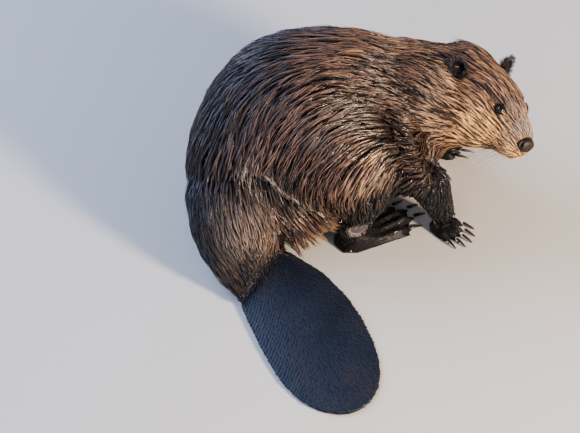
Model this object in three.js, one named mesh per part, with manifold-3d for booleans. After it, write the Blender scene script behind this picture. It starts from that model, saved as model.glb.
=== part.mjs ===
// A life-size still model of a standing beaver: hunched trunk, head turned to its right, tail swept
// round to the same side. Millimetres, +Z up, +X the way the body faces. The solids reach to the tips
// of the coat.
//
// The animal's outline is one smooth distance field made of ellipsoids and tapered limbs. Each solid is
// found by casting rays from a line inside it out to that field. Thin cuts then part it from its
// neighbours.
import * as THREE from "three";
import { mergeVertices } from "three/addons/utils/BufferGeometryUtils.js";
import Module from "manifold-3d";

const wasm = await Module();
wasm.setup();
const V = (x, y, z) => new THREE.Vector3(x, y, z);
const degrees = (angle) => THREE.MathUtils.degToRad(angle);

// ---- Driving dimensions -------------------------------------------------------------------------

const GAP = 0.3; // left by every cut between two sub-parts
const BLEND = 24; // how far two neighbouring forms melt into each other

const TRUNK = {
  core: { at: V(-58, -6, 145), radii: V(144, 112, 132) },
  rump: { at: V(-130, -24, 104), radii: V(96, 94, 104) },
  belly: { at: V(-30, -4, 96), radii: V(130, 96, 80) },
  withers: { at: V(2, 6, 192), radii: V(72, 76, 80) },
  chest: { at: V(66, 4, 146), radii: V(74, 80, 100) },
  vent: { at: V(-78, -78, 48), radii: V(52, 56, 44) },
  tailFlare: { at: V(-160, -52, 92), radii: V(68, 62, 66) },
};
const NECK = { from: V(87, 16, 171), to: V(141, 30, 184), fromRadius: 77, toRadius: 49 };
const HEAD = { at: V(165, 22, 193), yaw: -52, pitch: -4, roll: -25 };

const UPPER_ARM = { fromRadius: 50, toRadius: 40 };
const FOREARM = { fromRadius: 30, toRadius: 17 };
const SHANK = { fromRadius: 36, toRadius: 21 };
const THIGH_RADII = V(94, 56, 88);
const STANCE = {
  right: {
    thigh: V(-30, -86, 126),
    knee: V(14, -96, 92),
    ankle: V(-6, -102, 32),
    hindHeel: V(-24, -114, 0),
    hindHeading: 38,
    shoulder: V(66, -50, 158),
    elbow: V(92, -78, 108),
    wrist: V(118, -71, 27),
    foreHeel: V(104, -61, 0),
    foreHeading: -38,
  },
  left: {
    thigh: V(-30, 78, 126),
    knee: V(-2, 88, 92),
    ankle: V(-32, 94, 32),
    hindHeel: V(-52, 96, 0),
    hindHeading: -8,
    shoulder: V(66, 62, 158),
    elbow: V(92, 80, 108),
    wrist: V(112, 74, 27),
    foreHeel: V(98, 74, 0),
    foreHeading: 8,
  },
};

const TAIL_ROOT = [
  { at: V(-160, -36, 108), across: 46, high: 46 },
  { at: V(-170, -96, 66), across: 58, high: 50 },
  { at: V(-158, -130, 45), across: 55, high: 38 },
  { at: V(-138, -156, 22), across: 53, high: 19 },
  { at: V(-108, -184, 9), across: 43, high: 11 },
  { at: V(-86, -226, 6), across: 40, high: 8 },
];
const PADDLE = {
  path: [
    V(-132, -152, 0),
    V(-106, -184, 0),
    V(-80, -228, 0),
    V(-59, -276, 0),
    V(-34, -345, 0),
    V(-7, -422, 0),
  ],
  halfWidth: 74,
  thick: 26,
  edge: 4.5,
};
const FUR_END = { at: V(-125, -174, 20), heading: -31 }; // where the tail's fur gives way to scales

// ---- The outline as a distance field ------------------------------------------------------------

const ellipsoid = ({ at, radii }) => (p) => {
  const q = p.clone().sub(at).divide(radii);
  const k = q.length();
  return k < 1e-6 ? -Math.min(radii.x, radii.y, radii.z) : (k * (k - 1)) / q.divide(radii).length();
};

const limb = (from, to, { fromRadius, toRadius }) => (p) => {
  const axis = to.clone().sub(from);
  const t = THREE.MathUtils.clamp(p.clone().sub(from).dot(axis) / axis.lengthSq(), 0, 1);
  const radius = THREE.MathUtils.lerp(fromRadius, toRadius, t);
  return p.distanceTo(from.clone().addScaledVector(axis, t)) - radius;
};

// A limb that is wider than it is high, as a tail is.
const flatLimb = (a, b) => (p) => {
  const axis = b.at.clone().sub(a.at);
  const t = THREE.MathUtils.clamp(p.clone().sub(a.at).dot(axis) / axis.lengthSq(), 0, 1);
  const across = THREE.MathUtils.lerp(a.across, b.across, t);
  const high = THREE.MathUtils.lerp(a.high, b.high, t);
  const q = p.clone().sub(a.at).addScaledVector(axis, -t);
  const k = Math.hypot(q.x / across, q.y / across, q.z / high);
  return (k - 1) * Math.min(across, high);
};

const melt = (a, b, width) => {
  const h = Math.max(width - Math.abs(a - b), 0) / width;
  return Math.min(a, b) - (h * h * width) / 4;
};
const together = (forms, width) => (p) => forms.map((form) => form(p)).reduce((a, b) => melt(a, b, width));

const headTurn = new THREE.Euler(degrees(HEAD.roll), degrees(HEAD.pitch), degrees(HEAD.yaw), "ZYX");
const headToBody = new THREE.Matrix4().makeRotationFromEuler(headTurn).setPosition(HEAD.at);
const bodyToHead = headToBody.clone().invert();

// The head's own frame: +X to the nose, +Y to its left, +Z to the crown, from between the ears.
const HEAD_FORMS = [
  { at: V(24, 0, -24), radii: V(62, 50, 45) }, // cranium
  { at: V(-26, 0, -38), radii: V(46, 48, 44) }, // nape
  { at: V(36, -26, -46), radii: V(44, 31, 36) }, // right cheek
  { at: V(36, 26, -46), radii: V(44, 31, 36) }, // left cheek
  { at: V(66, 0, -27), radii: V(49, 25, 29) }, // bridge
  { at: V(98, 0, -44), radii: V(24, 22, 20) }, // muzzle
  { at: V(68, 0, -52), radii: V(42, 23, 16) }, // lower jaw
];
const EYE = { at: V(76, 24, -6), radius: 6 };
const EAR = { at: V(1, 48, 18), radii: V(6, 13, 17), lean: 28, turn: -28 };
const NOSE = { at: V(121, 0, -38), radii: V(9, 13, 10.5) };
const MOUTH = new THREE.Matrix4().makeRotationY(degrees(5)).setPosition(46, 0, -52); // its corner

const headField = together(HEAD_FORMS.map(ellipsoid), 14);
const bothSides = [-1, 1];
const sideName = (side) => (side < 0 ? "right" : "left");
const tailForms = TAIL_ROOT.slice(1).map((ring, i) => flatLimb(TAIL_ROOT[i], ring));
const legs = Object.values(STANCE);
const bodyForms = [
  ...Object.values(TRUNK).map(ellipsoid),
  ...legs.map(({ thigh }) => ellipsoid({ at: thigh, radii: THIGH_RADII })),
  limb(NECK.from, NECK.to, NECK),
  (p) => headField(p.clone().applyMatrix4(bodyToHead)),
];
const armForms = legs.map(({ shoulder, elbow }) => limb(shoulder, elbow, UPPER_ARM));
const bodyField = together(bodyForms, BLEND);
const trunkField = together([...bodyForms, ...armForms], BLEND);

// ---- Solids from the field ----------------------------------------------------------------------

// How far from start the outline lies along a ray, or the first fence if that is nearer.
function reach(field, start, ray, fences, limit = 420) {
  const inside = (t) => {
    const p = start.clone().addScaledVector(ray, t);
    return field(p) < 0 && fences.every((fence) => fence.distanceToPoint(p) < 0);
  };
  const step = 6;
  let far = step;
  while (far < limit && inside(far)) far += step;
  let near = far - step;
  for (let i = 0; i < 12; i += 1) {
    const middle = (near + far) / 2;
    if (inside(middle)) near = middle;
    else far = middle;
  }
  return near;
}

// A closed body cast in all directions from the line between two inner points.
function castBall(field, from, to, detail, fences = []) {
  const sphere = new THREE.IcosahedronGeometry(1, detail);
  const ball = mergeVertices(sphere.deleteAttribute("normal").deleteAttribute("uv"));
  const half = to.clone().sub(from).multiplyScalar(0.5);
  const middle = from.clone().add(half);
  const along = half.clone().normalize();
  const points = ball.attributes.position;
  for (let i = 0; i < points.count; i += 1) {
    const ray = V(0, 0, 0).fromBufferAttribute(points, i).normalize();
    const start = middle.clone().addScaledVector(half, ray.dot(along));
    start.addScaledVector(ray, reach(field, start, ray, fences));
    points.setXYZ(i, start.x, start.y, start.z);
  }
  return ball;
}

// Joins rings of points, all with the same count, into a closed body with a flat fan at each end.
function skinOver(rings) {
  const count = rings[0].length;
  const centre = (ring) => ring.reduce((sum, p) => sum.add(p), V(0, 0, 0)).divideScalar(count);
  const points = [...rings.flat(), centre(rings[0]), centre(rings.at(-1))];
  const faces = [];
  const last = rings.length - 1;
  for (let j = 0; j < count; j += 1) {
    const k = (j + 1) % count;
    faces.push(rings.length * count, k, j);
    faces.push(rings.length * count + 1, last * count + j, last * count + k);
    for (let i = 0; i < last; i += 1) {
      const [a, b, c, d] = [i * count + j, i * count + k, (i + 1) * count + k, (i + 1) * count + j];
      faces.push(a, b, c, a, c, d);
    }
  }
  return new THREE.BufferGeometry().setFromPoints(points).setIndex(faces);
}

// Rings cast square to a curve, out to the field.
function castAlong(field, curve, ringCount, sideCount) {
  const rings = [];
  for (let i = 0; i <= ringCount; i += 1) {
    const start = curve.getPointAt(i / ringCount);
    const tangent = curve.getTangentAt(i / ringCount);
    const across = V(0, 0, 1).cross(tangent).normalize();
    const up = tangent.clone().cross(across);
    rings.push(
      Array.from({ length: sideCount }, (_, j) => {
        const angle = (j / sideCount) * 2 * Math.PI;
        const ray = across.clone().multiplyScalar(Math.cos(angle)).addScaledVector(up, Math.sin(angle));
        return start.clone().addScaledVector(ray, reach(field, start, ray, []));
      }),
    );
  }
  return skinOver(rings);
}

// ---- Cuts ---------------------------------------------------------------------------------------

function solidOf(geometry) {
  const bare = new THREE.BufferGeometry().setAttribute("position", geometry.getAttribute("position"));
  bare.setIndex(geometry.index);
  const merged = mergeVertices(bare, 1e-3);
  const triVerts = new Uint32Array(merged.index.array);
  const vertProperties = new Float32Array(merged.attributes.position.array);
  return new wasm.Manifold(new wasm.Mesh({ numProp: 3, vertProperties, triVerts }));
}

function geometryOf(solid) {
  const mesh = solid.getMesh();
  const geometry = new THREE.BufferGeometry();
  geometry.setAttribute("position", new THREE.BufferAttribute(new Float32Array(mesh.vertProperties), 3));
  geometry.setIndex(new THREE.BufferAttribute(new Uint32Array(mesh.triVerts), 1));
  const flat = geometry.toNonIndexed();
  flat.computeVertexNormals();
  return flat;
}

// Everything on the far side of a plane, as a large block.
function beyond(point, normal, shift = 0) {
  const size = 900;
  const block = new THREE.BoxGeometry(size, size, size);
  block.translate(0, 0, size / 2 + shift);
  block.applyQuaternion(new THREE.Quaternion().setFromUnitVectors(V(0, 0, 1), normal.clone().normalize()));
  block.translate(point.x, point.y, point.z);
  return solidOf(block);
}
const belowFloor = (clear = 0) => beyond(V(0, 0, clear), V(0, 0, -1));

function ovalBlock({ at, radii }, grow = 0, turn = new THREE.Euler(), sides = 10) {
  const oval = new THREE.SphereGeometry(1, sides, Math.round(sides * 0.6));
  oval.scale(radii.x + grow, radii.y + grow, radii.z + grow);
  oval.applyMatrix4(new THREE.Matrix4().makeRotationFromEuler(turn));
  oval.translate(at.x, at.y, at.z);
  return solidOf(oval);
}

// A solid enlarged a little about its own middle, which leaves a gap when it is cut from a neighbour.
function grown(solid, by) {
  const { min, max } = solid.boundingBox();
  const middle = V(...min).add(V(...max)).multiplyScalar(0.5);
  const half = V(...max).sub(middle);
  const factor = 1 + by / Math.min(half.x, half.y, half.z);
  return solid.translate(middle.clone().negate().toArray()).scale(factor).translate(middle.toArray());
}
const lifted = (solid) => solid.translate([0, 0, GAP]);
const moved = (solid, matrix) => solidOf(geometryOf(solid).applyMatrix4(matrix));
const largest = (solid) => solid.decompose().reduce((a, b) => (a.volume() > b.volume() ? a : b));

// ---- The scene graph ----------------------------------------------------------------------------

const coat = (color) => new THREE.MeshStandardMaterial({ color, roughness: 0.75, metalness: 0 });
const finish = {
  back: coat("#4f382a"),
  flank: coat("#6b4d31"),
  neck: coat("#744c30"),
  face: coat("#8f6238"),
  limb: coat("#3a322d"),
  ear: coat("#2a272a"),
  scales: new THREE.MeshStandardMaterial({ color: "#2b3038", roughness: 0.5, metalness: 0 }),
  nose: new THREE.MeshStandardMaterial({ color: "#3b2622", roughness: 0.45, metalness: 0 }),
  claw: new THREE.MeshStandardMaterial({ color: "#2c2622", roughness: 0.4, metalness: 0 }),
  eye: new THREE.MeshStandardMaterial({ color: "#0c0908", roughness: 0.06, metalness: 0 }),
};

const beaver = new THREE.Group();
beaver.name = "beaver";
const bodyGroup = new THREE.Group();
const headGroup = new THREE.Group();
headGroup.applyMatrix4(headToBody);
bodyGroup.add(headGroup);
beaver.add(bodyGroup);

// Hangs a solid in its group as a named mesh, with its place in the mesh's position.
function hang(group, name, solid, material) {
  const geometry = geometryOf(largest(solid));
  geometry.computeBoundingBox();
  const middle = geometry.boundingBox.getCenter(V(0, 0, 0));
  geometry.translate(-middle.x, -middle.y, -middle.z);
  const mesh = new THREE.Mesh(geometry, material);
  mesh.name = name;
  mesh.position.copy(middle);
  group.add(mesh);
}

// ---- Head ---------------------------------------------------------------------------------------

const inHead = (v) => v.clone().applyMatrix4(headToBody);
const napeCut = { at: V(112, 0, 190), normal: V(0.72, -0.5, 0.48).normalize() };
const shoulderCut = { at: V(98, 8, 160), normal: V(0.94, -0.1, 0.33).normalize() };

// A plane a little past a cut, which stops the rays of the solid that the cut will trim.
function fence(cut, facing, margin = 14) {
  const normal = cut.normal.clone().multiplyScalar(facing);
  const at = cut.at.clone().addScaledVector(normal, margin);
  return new THREE.Plane().setFromNormalAndCoplanarPoint(normal, at);
}

const mirrored = (at, side) => V(at.x, side * at.y, at.z);

// A block that fills all that lies below and ahead of the corner of the mouth.
function belowMouth(grow) {
  const block = new THREE.BoxGeometry(120 + 2 * grow, 90, 60 + grow).translate(60, 0, -30 + grow / 2);
  return solidOf(block.applyMatrix4(MOUTH));
}

function addHead() {
  const back = [fence(napeCut, -1), fence(shoulderCut, -1)];
  const cast = castBall(bodyField, inHead(V(0, 0, -28)), inHead(V(88, 0, -44)), 7, back);
  let head = solidOf(cast).subtract(beyond(napeCut.at, napeCut.normal.clone().negate(), -GAP / 2));
  head = head.subtract(beyond(shoulderCut.at, shoulderCut.normal.clone().negate(), -GAP / 2));
  head = moved(head, bodyToHead);

  hang(headGroup, "jaw", head.intersect(belowMouth(0)), finish.face);
  head = head.subtract(belowMouth(GAP)).subtract(ovalBlock(NOSE, GAP, undefined, 12));

  let nose = ovalBlock(NOSE, 0, undefined, 12);
  for (const side of bothSides) {
    const nostril = { at: V(NOSE.at.x + 5.5, side * 7.5, NOSE.at.z + 1), radii: V(5, 2.6, 3) };
    nose = nose.subtract(ovalBlock(nostril, 0, undefined, 6));
  }
  hang(headGroup, "nose_pad", nose, finish.nose);

  for (const side of bothSides) {
    const eyeAt = mirrored(EYE.at, side);
    const ball = V(EYE.radius, EYE.radius, EYE.radius);
    head = head.subtract(ovalBlock({ at: eyeAt, radii: ball }, GAP));
    hang(headGroup, `eye_${sideName(side)}`, ovalBlock({ at: eyeAt, radii: ball }), finish.eye);

    const turn = new THREE.Euler(degrees(-side * EAR.lean), 0, degrees(side * -EAR.turn), "ZXY");
    const earAt = mirrored(EAR.at, side);
    const hollowAt = V(6, 0, 3).applyEuler(turn).add(earAt);
    const ear = ovalBlock({ at: earAt, radii: EAR.radii }, 0, turn);
    const hollow = ovalBlock({ at: hollowAt, radii: V(6, 9.5, 12) }, 0, turn);
    hang(headGroup, `ear_${sideName(side)}`, ear.subtract(hollow), finish.ear);
    head = head.subtract(ovalBlock({ at: earAt, radii: EAR.radii }, GAP, turn));
  }
  hang(headGroup, "head", head, finish.face);
}

// ---- Neck and trunk -----------------------------------------------------------------------------

function addNeck() {
  const fences = [fence(napeCut, 1), fence(shoulderCut, -1)];
  const cast = solidOf(castBall(bodyField, V(92, 6, 165), V(112, 14, 172), 4, fences));
  const ahead = beyond(napeCut.at, napeCut.normal, -GAP / 2);
  const behind = beyond(shoulderCut.at, shoulderCut.normal.clone().negate(), -GAP / 2);
  hang(bodyGroup, "neck", cast.subtract(ahead).subtract(behind), finish.neck);
}

function castTrunk() {
  const fences = [fence(shoulderCut, 1)];
  const cast = solidOf(castBall(trunkField, V(-112, -28, 112), V(54, 0, 140), 6, fences));
  return cast.subtract(beyond(shoulderCut.at, shoulderCut.normal, -GAP / 2)).subtract(belowFloor(4));
}

// Parts one bulge from the trunk and hangs it as a node of its own.
function part(trunk, name, oval) {
  hang(bodyGroup, name, trunk.intersect(ovalBlock(oval)), finish.flank);
  return trunk.subtract(ovalBlock(oval, GAP));
}

// ---- Legs ---------------------------------------------------------------------------------------

const limbSolid = (from, to, radii, detail) =>
  solidOf(castBall(limb(from, to, radii), from, to, detail));

// A closed pad lying on the floor: a grid of places with a height above each, down to the floor at
// its rim.
function floorPad(lengthCount, widthCount, place, height) {
  const points = [];
  const rim = (i, j) => i === 0 || j === 0 || i === lengthCount || j === widthCount;
  for (let i = 0; i <= lengthCount; i += 1) {
    for (let j = 0; j <= widthCount; j += 1) {
      const [u, v] = [i / lengthCount, (2 * j) / widthCount - 1];
      const { x, y } = place(u, v);
      points.push(V(x, y, rim(i, j) ? 0 : height(u, v)));
    }
  }
  const faces = [];
  const row = widthCount + 1;
  for (let i = 0; i < lengthCount; i += 1) {
    for (let j = 0; j < widthCount; j += 1) {
      const [a, b, c, d] = [i * row + j, (i + 1) * row + j, (i + 1) * row + j + 1, i * row + j + 1];
      faces.push(a, b, c, a, c, d);
    }
  }
  const middle = place(0.5, 0);
  points.push(V(middle.x, middle.y, 0));
  const count = (n) => Array.from({ length: n }, (_, k) => k);
  const loop = [
    ...count(widthCount),
    ...count(lengthCount).map((i) => i * row + widthCount),
    ...count(widthCount).map((j) => lengthCount * row + widthCount - j),
    ...count(lengthCount).map((i) => (lengthCount - i) * row),
  ];
  loop.forEach((at, k) => faces.push(points.length - 1, at, loop[(k + 1) % loop.length]));
  return new THREE.BufferGeometry().setFromPoints(points).setIndex(faces);
}

const HIND_FOOT = {
  length: 126,
  heelWidth: 40,
  fan: 13,
  toes: [0.84, 0.98, 1, 0.9, 0.72],
  high: 36,
  toeHigh: 9,
  webHigh: 6,
  webDip: 0.1,
  claw: { long: 19, wide: 3.6, high: 3 },
  cells: [6, 16],
};
const FORE_FOOT = {
  length: 54,
  heelWidth: 30,
  fan: 15,
  toes: [0.82, 0.97, 1, 0.93, 0.76],
  high: 26,
  toeHigh: 6,
  webHigh: 7,
  webDip: 0.22,
  claw: { long: 17, wide: 2.2, high: 2.6 },
  cells: [4, 16],
};
const TOE_SPACING = 0.375; // as a share of half the foot's width

// The claw's own frame: root at the origin, pointing along +X and bending down.
function clawSolid({ long, wide, high }) {
  const rings = [0, 0.6, 1].map((t) => {
    const size = 1 - 0.88 * t ** 1.6;
    return Array.from({ length: 4 }, (_, j) => {
      const angle = (j / 4) * 2 * Math.PI;
      const bend = 0.16 * long * t * t;
      return V(t * long, size * wide * Math.cos(angle), size * high * Math.sin(angle) - bend);
    });
  });
  return solidOf(skinOver(rings));
}

// A foot flat on the floor with five toes, the inner toe last; side is -1 for the animal's right.
function addFoot(name, foot, side, heel, heading) {
  const group = new THREE.Group();
  group.position.copy(heel);
  group.rotation.z = degrees(heading);
  group.updateMatrix();
  bodyGroup.add(group);

  const toeShare = (v) => {
    const k = THREE.MathUtils.clamp((v * -side) / TOE_SPACING + 2, 0, 4);
    const low = Math.min(Math.floor(k), 3);
    return THREE.MathUtils.lerp(foot.toes[low], foot.toes[low + 1], k - low);
  };
  const onToe = (v) => (0.5 + 0.5 * Math.cos((2 * Math.PI * v) / TOE_SPACING)) ** 0.8;
  const place = (u, v) => {
    const long = foot.length * toeShare(v) * (1 - foot.webDip * (1 - onToe(v)));
    const angle = degrees(foot.fan * v);
    const heelRound = Math.sqrt(1 - (1 - Math.min(u / 0.2, 1)) ** 2);
    const half = (foot.heelWidth / 2) * (0.55 + 0.45 * heelRound);
    return { x: long * u * Math.cos(angle), y: half * v + long * u * Math.sin(angle) };
  };
  const height = (u, v) => {
    const fall = THREE.MathUtils.smoothstep(u, 0.12, 0.62);
    const instep = THREE.MathUtils.lerp(foot.high, foot.webHigh, fall);
    const toe = foot.toeHigh * onToe(v) * THREE.MathUtils.smoothstep(u, 0.3, 0.75) * (1 - 0.45 * u ** 6);
    return (instep + toe) * Math.sqrt(1 - Math.abs(v) ** 5) * (1 - 0.25 * u ** 8);
  };
  let solid = solidOf(floorPad(...foot.cells, place, height));
  for (let toe = 0; toe < 5; toe += 1) {
    const v = side * -1 * (toe - 2) * TOE_SPACING;
    const tip = place(0.955, v);
    const turn = new THREE.Euler(0, degrees(8), degrees(foot.fan * v));
    const root = V(tip.x, tip.y, foot.webHigh * 0.5 + 3.2);
    const at = new THREE.Matrix4().makeRotationFromEuler(turn).setPosition(root);
    const claw = moved(clawSolid(foot.claw), at);
    solid = solid.subtract(grown(claw, GAP));
    hang(group, `${name}_claw_${toe + 1}`, claw, finish.claw);
  }
  hang(group, name, solid, finish.limb);
  return moved(solid, group.matrix);
}

function addLegs(trunkCast) {
  let trunk = trunkCast;
  for (const side of bothSides) {
    const word = sideName(side);
    const leg = STANCE[word];

    const hind = addFoot(`hind_foot_${word}`, HIND_FOOT, side, leg.hindHeel, leg.hindHeading);
    const shank = limbSolid(leg.knee, leg.ankle, SHANK, 1);
    hang(bodyGroup, `shank_${word}`, shank.subtract(lifted(hind)), finish.limb);
    trunk = trunk.subtract(lifted(hind)).subtract(grown(shank, 2 * GAP));
    const thighAt = leg.thigh.clone().add(V(0, side * 30, -8));
    trunk = part(trunk, `thigh_${word}`, { at: thighAt, radii: V(86, 54, 86) });

    const fore = addFoot(`forepaw_${word}`, FORE_FOOT, side, leg.foreHeel, leg.foreHeading);
    const below = leg.elbow.clone().lerp(leg.wrist, 0.2);
    const forearm = limbSolid(below, leg.wrist, FOREARM, 2);
    hang(bodyGroup, `forearm_${word}`, forearm.subtract(lifted(fore)), finish.limb);
    trunk = trunk.subtract(grown(forearm, 2 * GAP));
    const armAt = V(80, side * 74 - 2, 128);
    trunk = part(trunk, `upper_arm_${word}`, { at: armAt, radii: V(52, 46, 64) });
  }
  return trunk;
}

// ---- Tail ---------------------------------------------------------------------------------------

function addTail(trunk) {
  const rootCurve = new THREE.CatmullRomCurve3(TAIL_ROOT.map((ring) => ring.at));
  const furNormal = V(Math.cos(degrees(FUR_END.heading)), Math.sin(degrees(FUR_END.heading)), 0);
  let root = solidOf(castAlong(together(tailForms, 16), rootCurve, 8, 16)).subtract(belowFloor());
  root = root.subtract(beyond(FUR_END.at, furNormal, -GAP / 2));

  const path = new THREE.CatmullRomCurve3(PADDLE.path);
  const ringCount = 10;
  const stations = 8;
  const rings = [];
  for (let i = 0; i <= ringCount; i += 1) {
    const t = Math.sin((i / ringCount) * (Math.PI / 2)) ** 0.9 * 0.998;
    const from = (t - 0.5) / 0.5;
    const share = from > 0 ? Math.sqrt(1 - from ** 2.6) : 1 - 0.3 * from ** 2;
    const half = PADDLE.halfWidth * share;
    const thick = THREE.MathUtils.lerp(PADDLE.thick, 9, t) * share ** 0.3;
    const tangent = path.getTangentAt(t);
    const across = V(0, 0, 1).cross(tangent).normalize();
    const ring = [];
    for (let j = 0; j <= stations; j += 1) {
      const v = Math.cos((j / stations) * Math.PI);
      const z = PADDLE.edge + (thick - PADDLE.edge) * (1 - Math.abs(v) ** 2.2);
      ring.push(path.getPointAt(t).addScaledVector(across, half * v).setZ(z));
    }
    for (let j = stations; j >= 0; j -= 1) {
      const v = Math.cos((j / stations) * Math.PI);
      const z = Math.max(0, 1.6 * v * v - 0.5);
      ring.push(path.getPointAt(t).addScaledVector(across, half * v * 0.985).setZ(z));
    }
    rings.push(ring);
  }
  let paddle = solidOf(skinOver(rings));
  paddle = paddle.subtract(beyond(FUR_END.at, furNormal.clone().negate(), -GAP / 2));
  hang(bodyGroup, "tail_base", root, finish.back);
  hang(bodyGroup, "tail_paddle", paddle, finish.scales);
  return trunk.subtract(grown(root, 3 * GAP)).subtract(lifted(paddle));
}

addHead();
addNeck();
hang(bodyGroup, "trunk", addTail(addLegs(castTrunk())), finish.back);

// The part's frame: its middle in plan at the origin, and the floor at Z = 0.
beaver.updateMatrixWorld(true);
const bounds = new THREE.Box3().setFromObject(beaver, true);
bodyGroup.position.set(-(bounds.min.x + bounds.max.x) / 2, -(bounds.min.y + bounds.max.y) / 2, 0);

export default beaver;
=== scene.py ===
import math
import bpy
import numpy as np
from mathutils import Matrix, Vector
from mathutils.bvhtree import BVHTree
from mathutils.kdtree import KDTree


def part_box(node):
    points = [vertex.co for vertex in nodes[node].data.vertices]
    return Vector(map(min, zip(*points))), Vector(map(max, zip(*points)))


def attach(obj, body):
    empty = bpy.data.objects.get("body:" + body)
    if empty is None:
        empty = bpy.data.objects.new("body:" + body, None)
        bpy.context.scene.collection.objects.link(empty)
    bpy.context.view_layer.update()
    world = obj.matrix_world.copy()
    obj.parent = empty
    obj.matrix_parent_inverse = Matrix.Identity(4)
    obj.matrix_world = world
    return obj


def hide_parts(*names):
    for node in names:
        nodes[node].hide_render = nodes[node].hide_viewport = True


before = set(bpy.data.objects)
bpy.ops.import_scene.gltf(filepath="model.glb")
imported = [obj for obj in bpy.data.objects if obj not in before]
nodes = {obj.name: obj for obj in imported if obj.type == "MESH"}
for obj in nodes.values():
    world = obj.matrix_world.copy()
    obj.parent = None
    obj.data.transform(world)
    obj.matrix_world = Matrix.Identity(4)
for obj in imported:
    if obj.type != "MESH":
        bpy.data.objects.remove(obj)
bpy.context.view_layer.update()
bpy.ops.object.select_all(action="DESELECT")
mm = 0.001


# small helpers

def linear(code):
    parts = [int(code[i:i + 2], 16) / 255 for i in (1, 3, 5)]
    return tuple(c / 12.92 if c <= 0.04045 else ((c + 0.055) / 1.055) ** 2.4 for c in parts) + (1.0,)


def plug(tree, node, inputs):
    # each socket takes a link or a plain value
    for socket, value in inputs.items():
        if isinstance(value, bpy.types.NodeSocket):
            tree.links.new(value, node.inputs[socket])
        else:
            node.inputs[socket].default_value = value


def addNode(tree, kind, settings=None, inputs=None, out=0, stops=None):
    # adds a node with its settings and links, and gives back one of its outputs
    node = tree.nodes.new("ShaderNode" + kind)
    for name, value in (settings or {}).items():
        setattr(node, name, value)
    plug(tree, node, inputs or {})
    if stops:
        ramp = node.color_ramp.elements
        while len(ramp) < len(stops):
            ramp.new(0.5)
        for element, (place, code) in zip(ramp, stops):
            element.position = place
            element.color = linear(code)
    return node.outputs[out]


def newMaterial(name):
    material = bpy.data.materials.new(name)
    material.use_nodes = True
    return material, material.node_tree, material.node_tree.nodes["Principled BSDF"]


def mottled(tree, scale, detail, stops):
    # a colour that wanders between two, and the noise that it follows
    place = addNode(tree, "TexCoord", out="Object")
    noise = addNode(tree, "TexNoise", {}, {"Vector": place, "Scale": scale, "Detail": detail})
    return addNode(tree, "ValToRGB", {}, {"Fac": noise}, stops=stops), noise


def pickOnly(*objects):
    bpy.ops.object.select_all(action="DESELECT")
    for thing in objects:
        thing.select_set(True)
    bpy.context.view_layer.objects.active = objects[0]


def applyAll(thing):
    pickOnly(thing)
    for modifier in list(thing.modifiers):
        bpy.ops.object.modifier_apply(modifier=modifier.name)


def editAll(thing, action, **settings):
    # one edit-mode action on the whole mesh
    pickOnly(thing)
    bpy.ops.object.mode_set(mode="EDIT")
    bpy.ops.mesh.select_all(action="SELECT")
    action(**settings)
    bpy.ops.object.mode_set(mode="OBJECT")


def addModifier(thing, kind, **settings):
    modifier = thing.modifiers.new(kind.lower(), kind)
    for name, value in settings.items():
        setattr(modifier, name, value)


def addWeights(thing, name, values, steps):
    # a vertex group from values between 0 and 1
    group = thing.vertex_groups.new(name=name)
    level = np.round(values * steps).astype(int)
    for step in range(steps + 1):
        group.add(np.nonzero(level == step)[0].tolist(), step / steps, "REPLACE")


def copyOf(names, pieceName):
    copies = []
    for name in names:
        double = nodes[name].copy()
        double.data = nodes[name].data.copy()
        double.parent = None
        double.hide_render = False
        double.hide_viewport = False
        for key in list(double.keys()):
            del double[key]
        bpy.context.scene.collection.objects.link(double)
        copies.append(double)
    pickOnly(*copies)
    bpy.ops.object.join()
    made = bpy.context.view_layer.objects.active
    made.name = pieceName
    made.data.name = pieceName
    made.data.materials.clear()
    editAll(made, bpy.ops.mesh.remove_doubles, threshold=0.05 * mm)
    return made


def readAll(items, what, width=3, kind=float):
    # one property of all the vertices, corners or faces of a mesh
    values = np.empty(len(items) * width, kind)
    items.foreach_get(what, values)
    return values.reshape(-1, width) if width > 1 else values


def readPoints(mesh):
    return readAll(mesh.vertices, "co")


def readNormals(mesh):
    return readAll(mesh.vertices, "normal")


def writePoints(mesh, points):
    mesh.vertices.foreach_set("co", points.astype(np.float32).ravel())
    mesh.update()


def writeMark(mesh, name, values):
    mark = mesh.attributes.new(name, "FLOAT", "POINT")
    mark.data.foreach_set("value", np.asarray(values, np.float32))


def countTriangles(mesh):
    return sum(len(face.vertices) - 2 for face in mesh.polygons)


def treeOf(mesh):
    faces = [face.vertices[:] for face in mesh.polygons]
    return BVHTree.FromPolygons([Vector(p) for p in readPoints(mesh)], faces)


def nearestOn(tree, where):
    # the nearest places on a surface, the ways that it faces there, and the faces that they are on
    found = [tree.find_nearest(p) for p in where]
    return [np.array([hit[k] for hit in found]) for k in range(3)]


def unit(v):
    return v / np.maximum(np.linalg.norm(v, axis=-1, keepdims=True), 1e-12)


def ease(low, high, x):
    t = np.clip((x - low) / (high - low), 0, 1)
    return t * t * (3 - 2 * t)


def bump(x, middle, wide):
    return np.exp(-((x - middle) / wide) ** 2)


def nearness(where, at, reach):
    return np.exp(-((where - np.array(at)) ** 2).sum(1) / (2 * reach ** 2))


def spread(values, edges, times):
    # evens a value out over the mesh, each vertex taking the mean of its neighbours
    flat = values.reshape(len(values), -1).copy()
    count = np.bincount(edges.ravel(), minlength=len(flat)).clip(1)
    for _ in range(times):
        for k in range(flat.shape[1]):
            total = np.bincount(edges[:, 0], flat[edges[:, 1], k], len(flat))
            total += np.bincount(edges[:, 1], flat[edges[:, 0], k], len(flat))
            flat[:, k] = 0.5 * flat[:, k] + 0.5 * total / count
    return flat.reshape(values.shape)


def midOf(name):
    low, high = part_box(name)
    return np.array((low + high) / 2)


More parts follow.
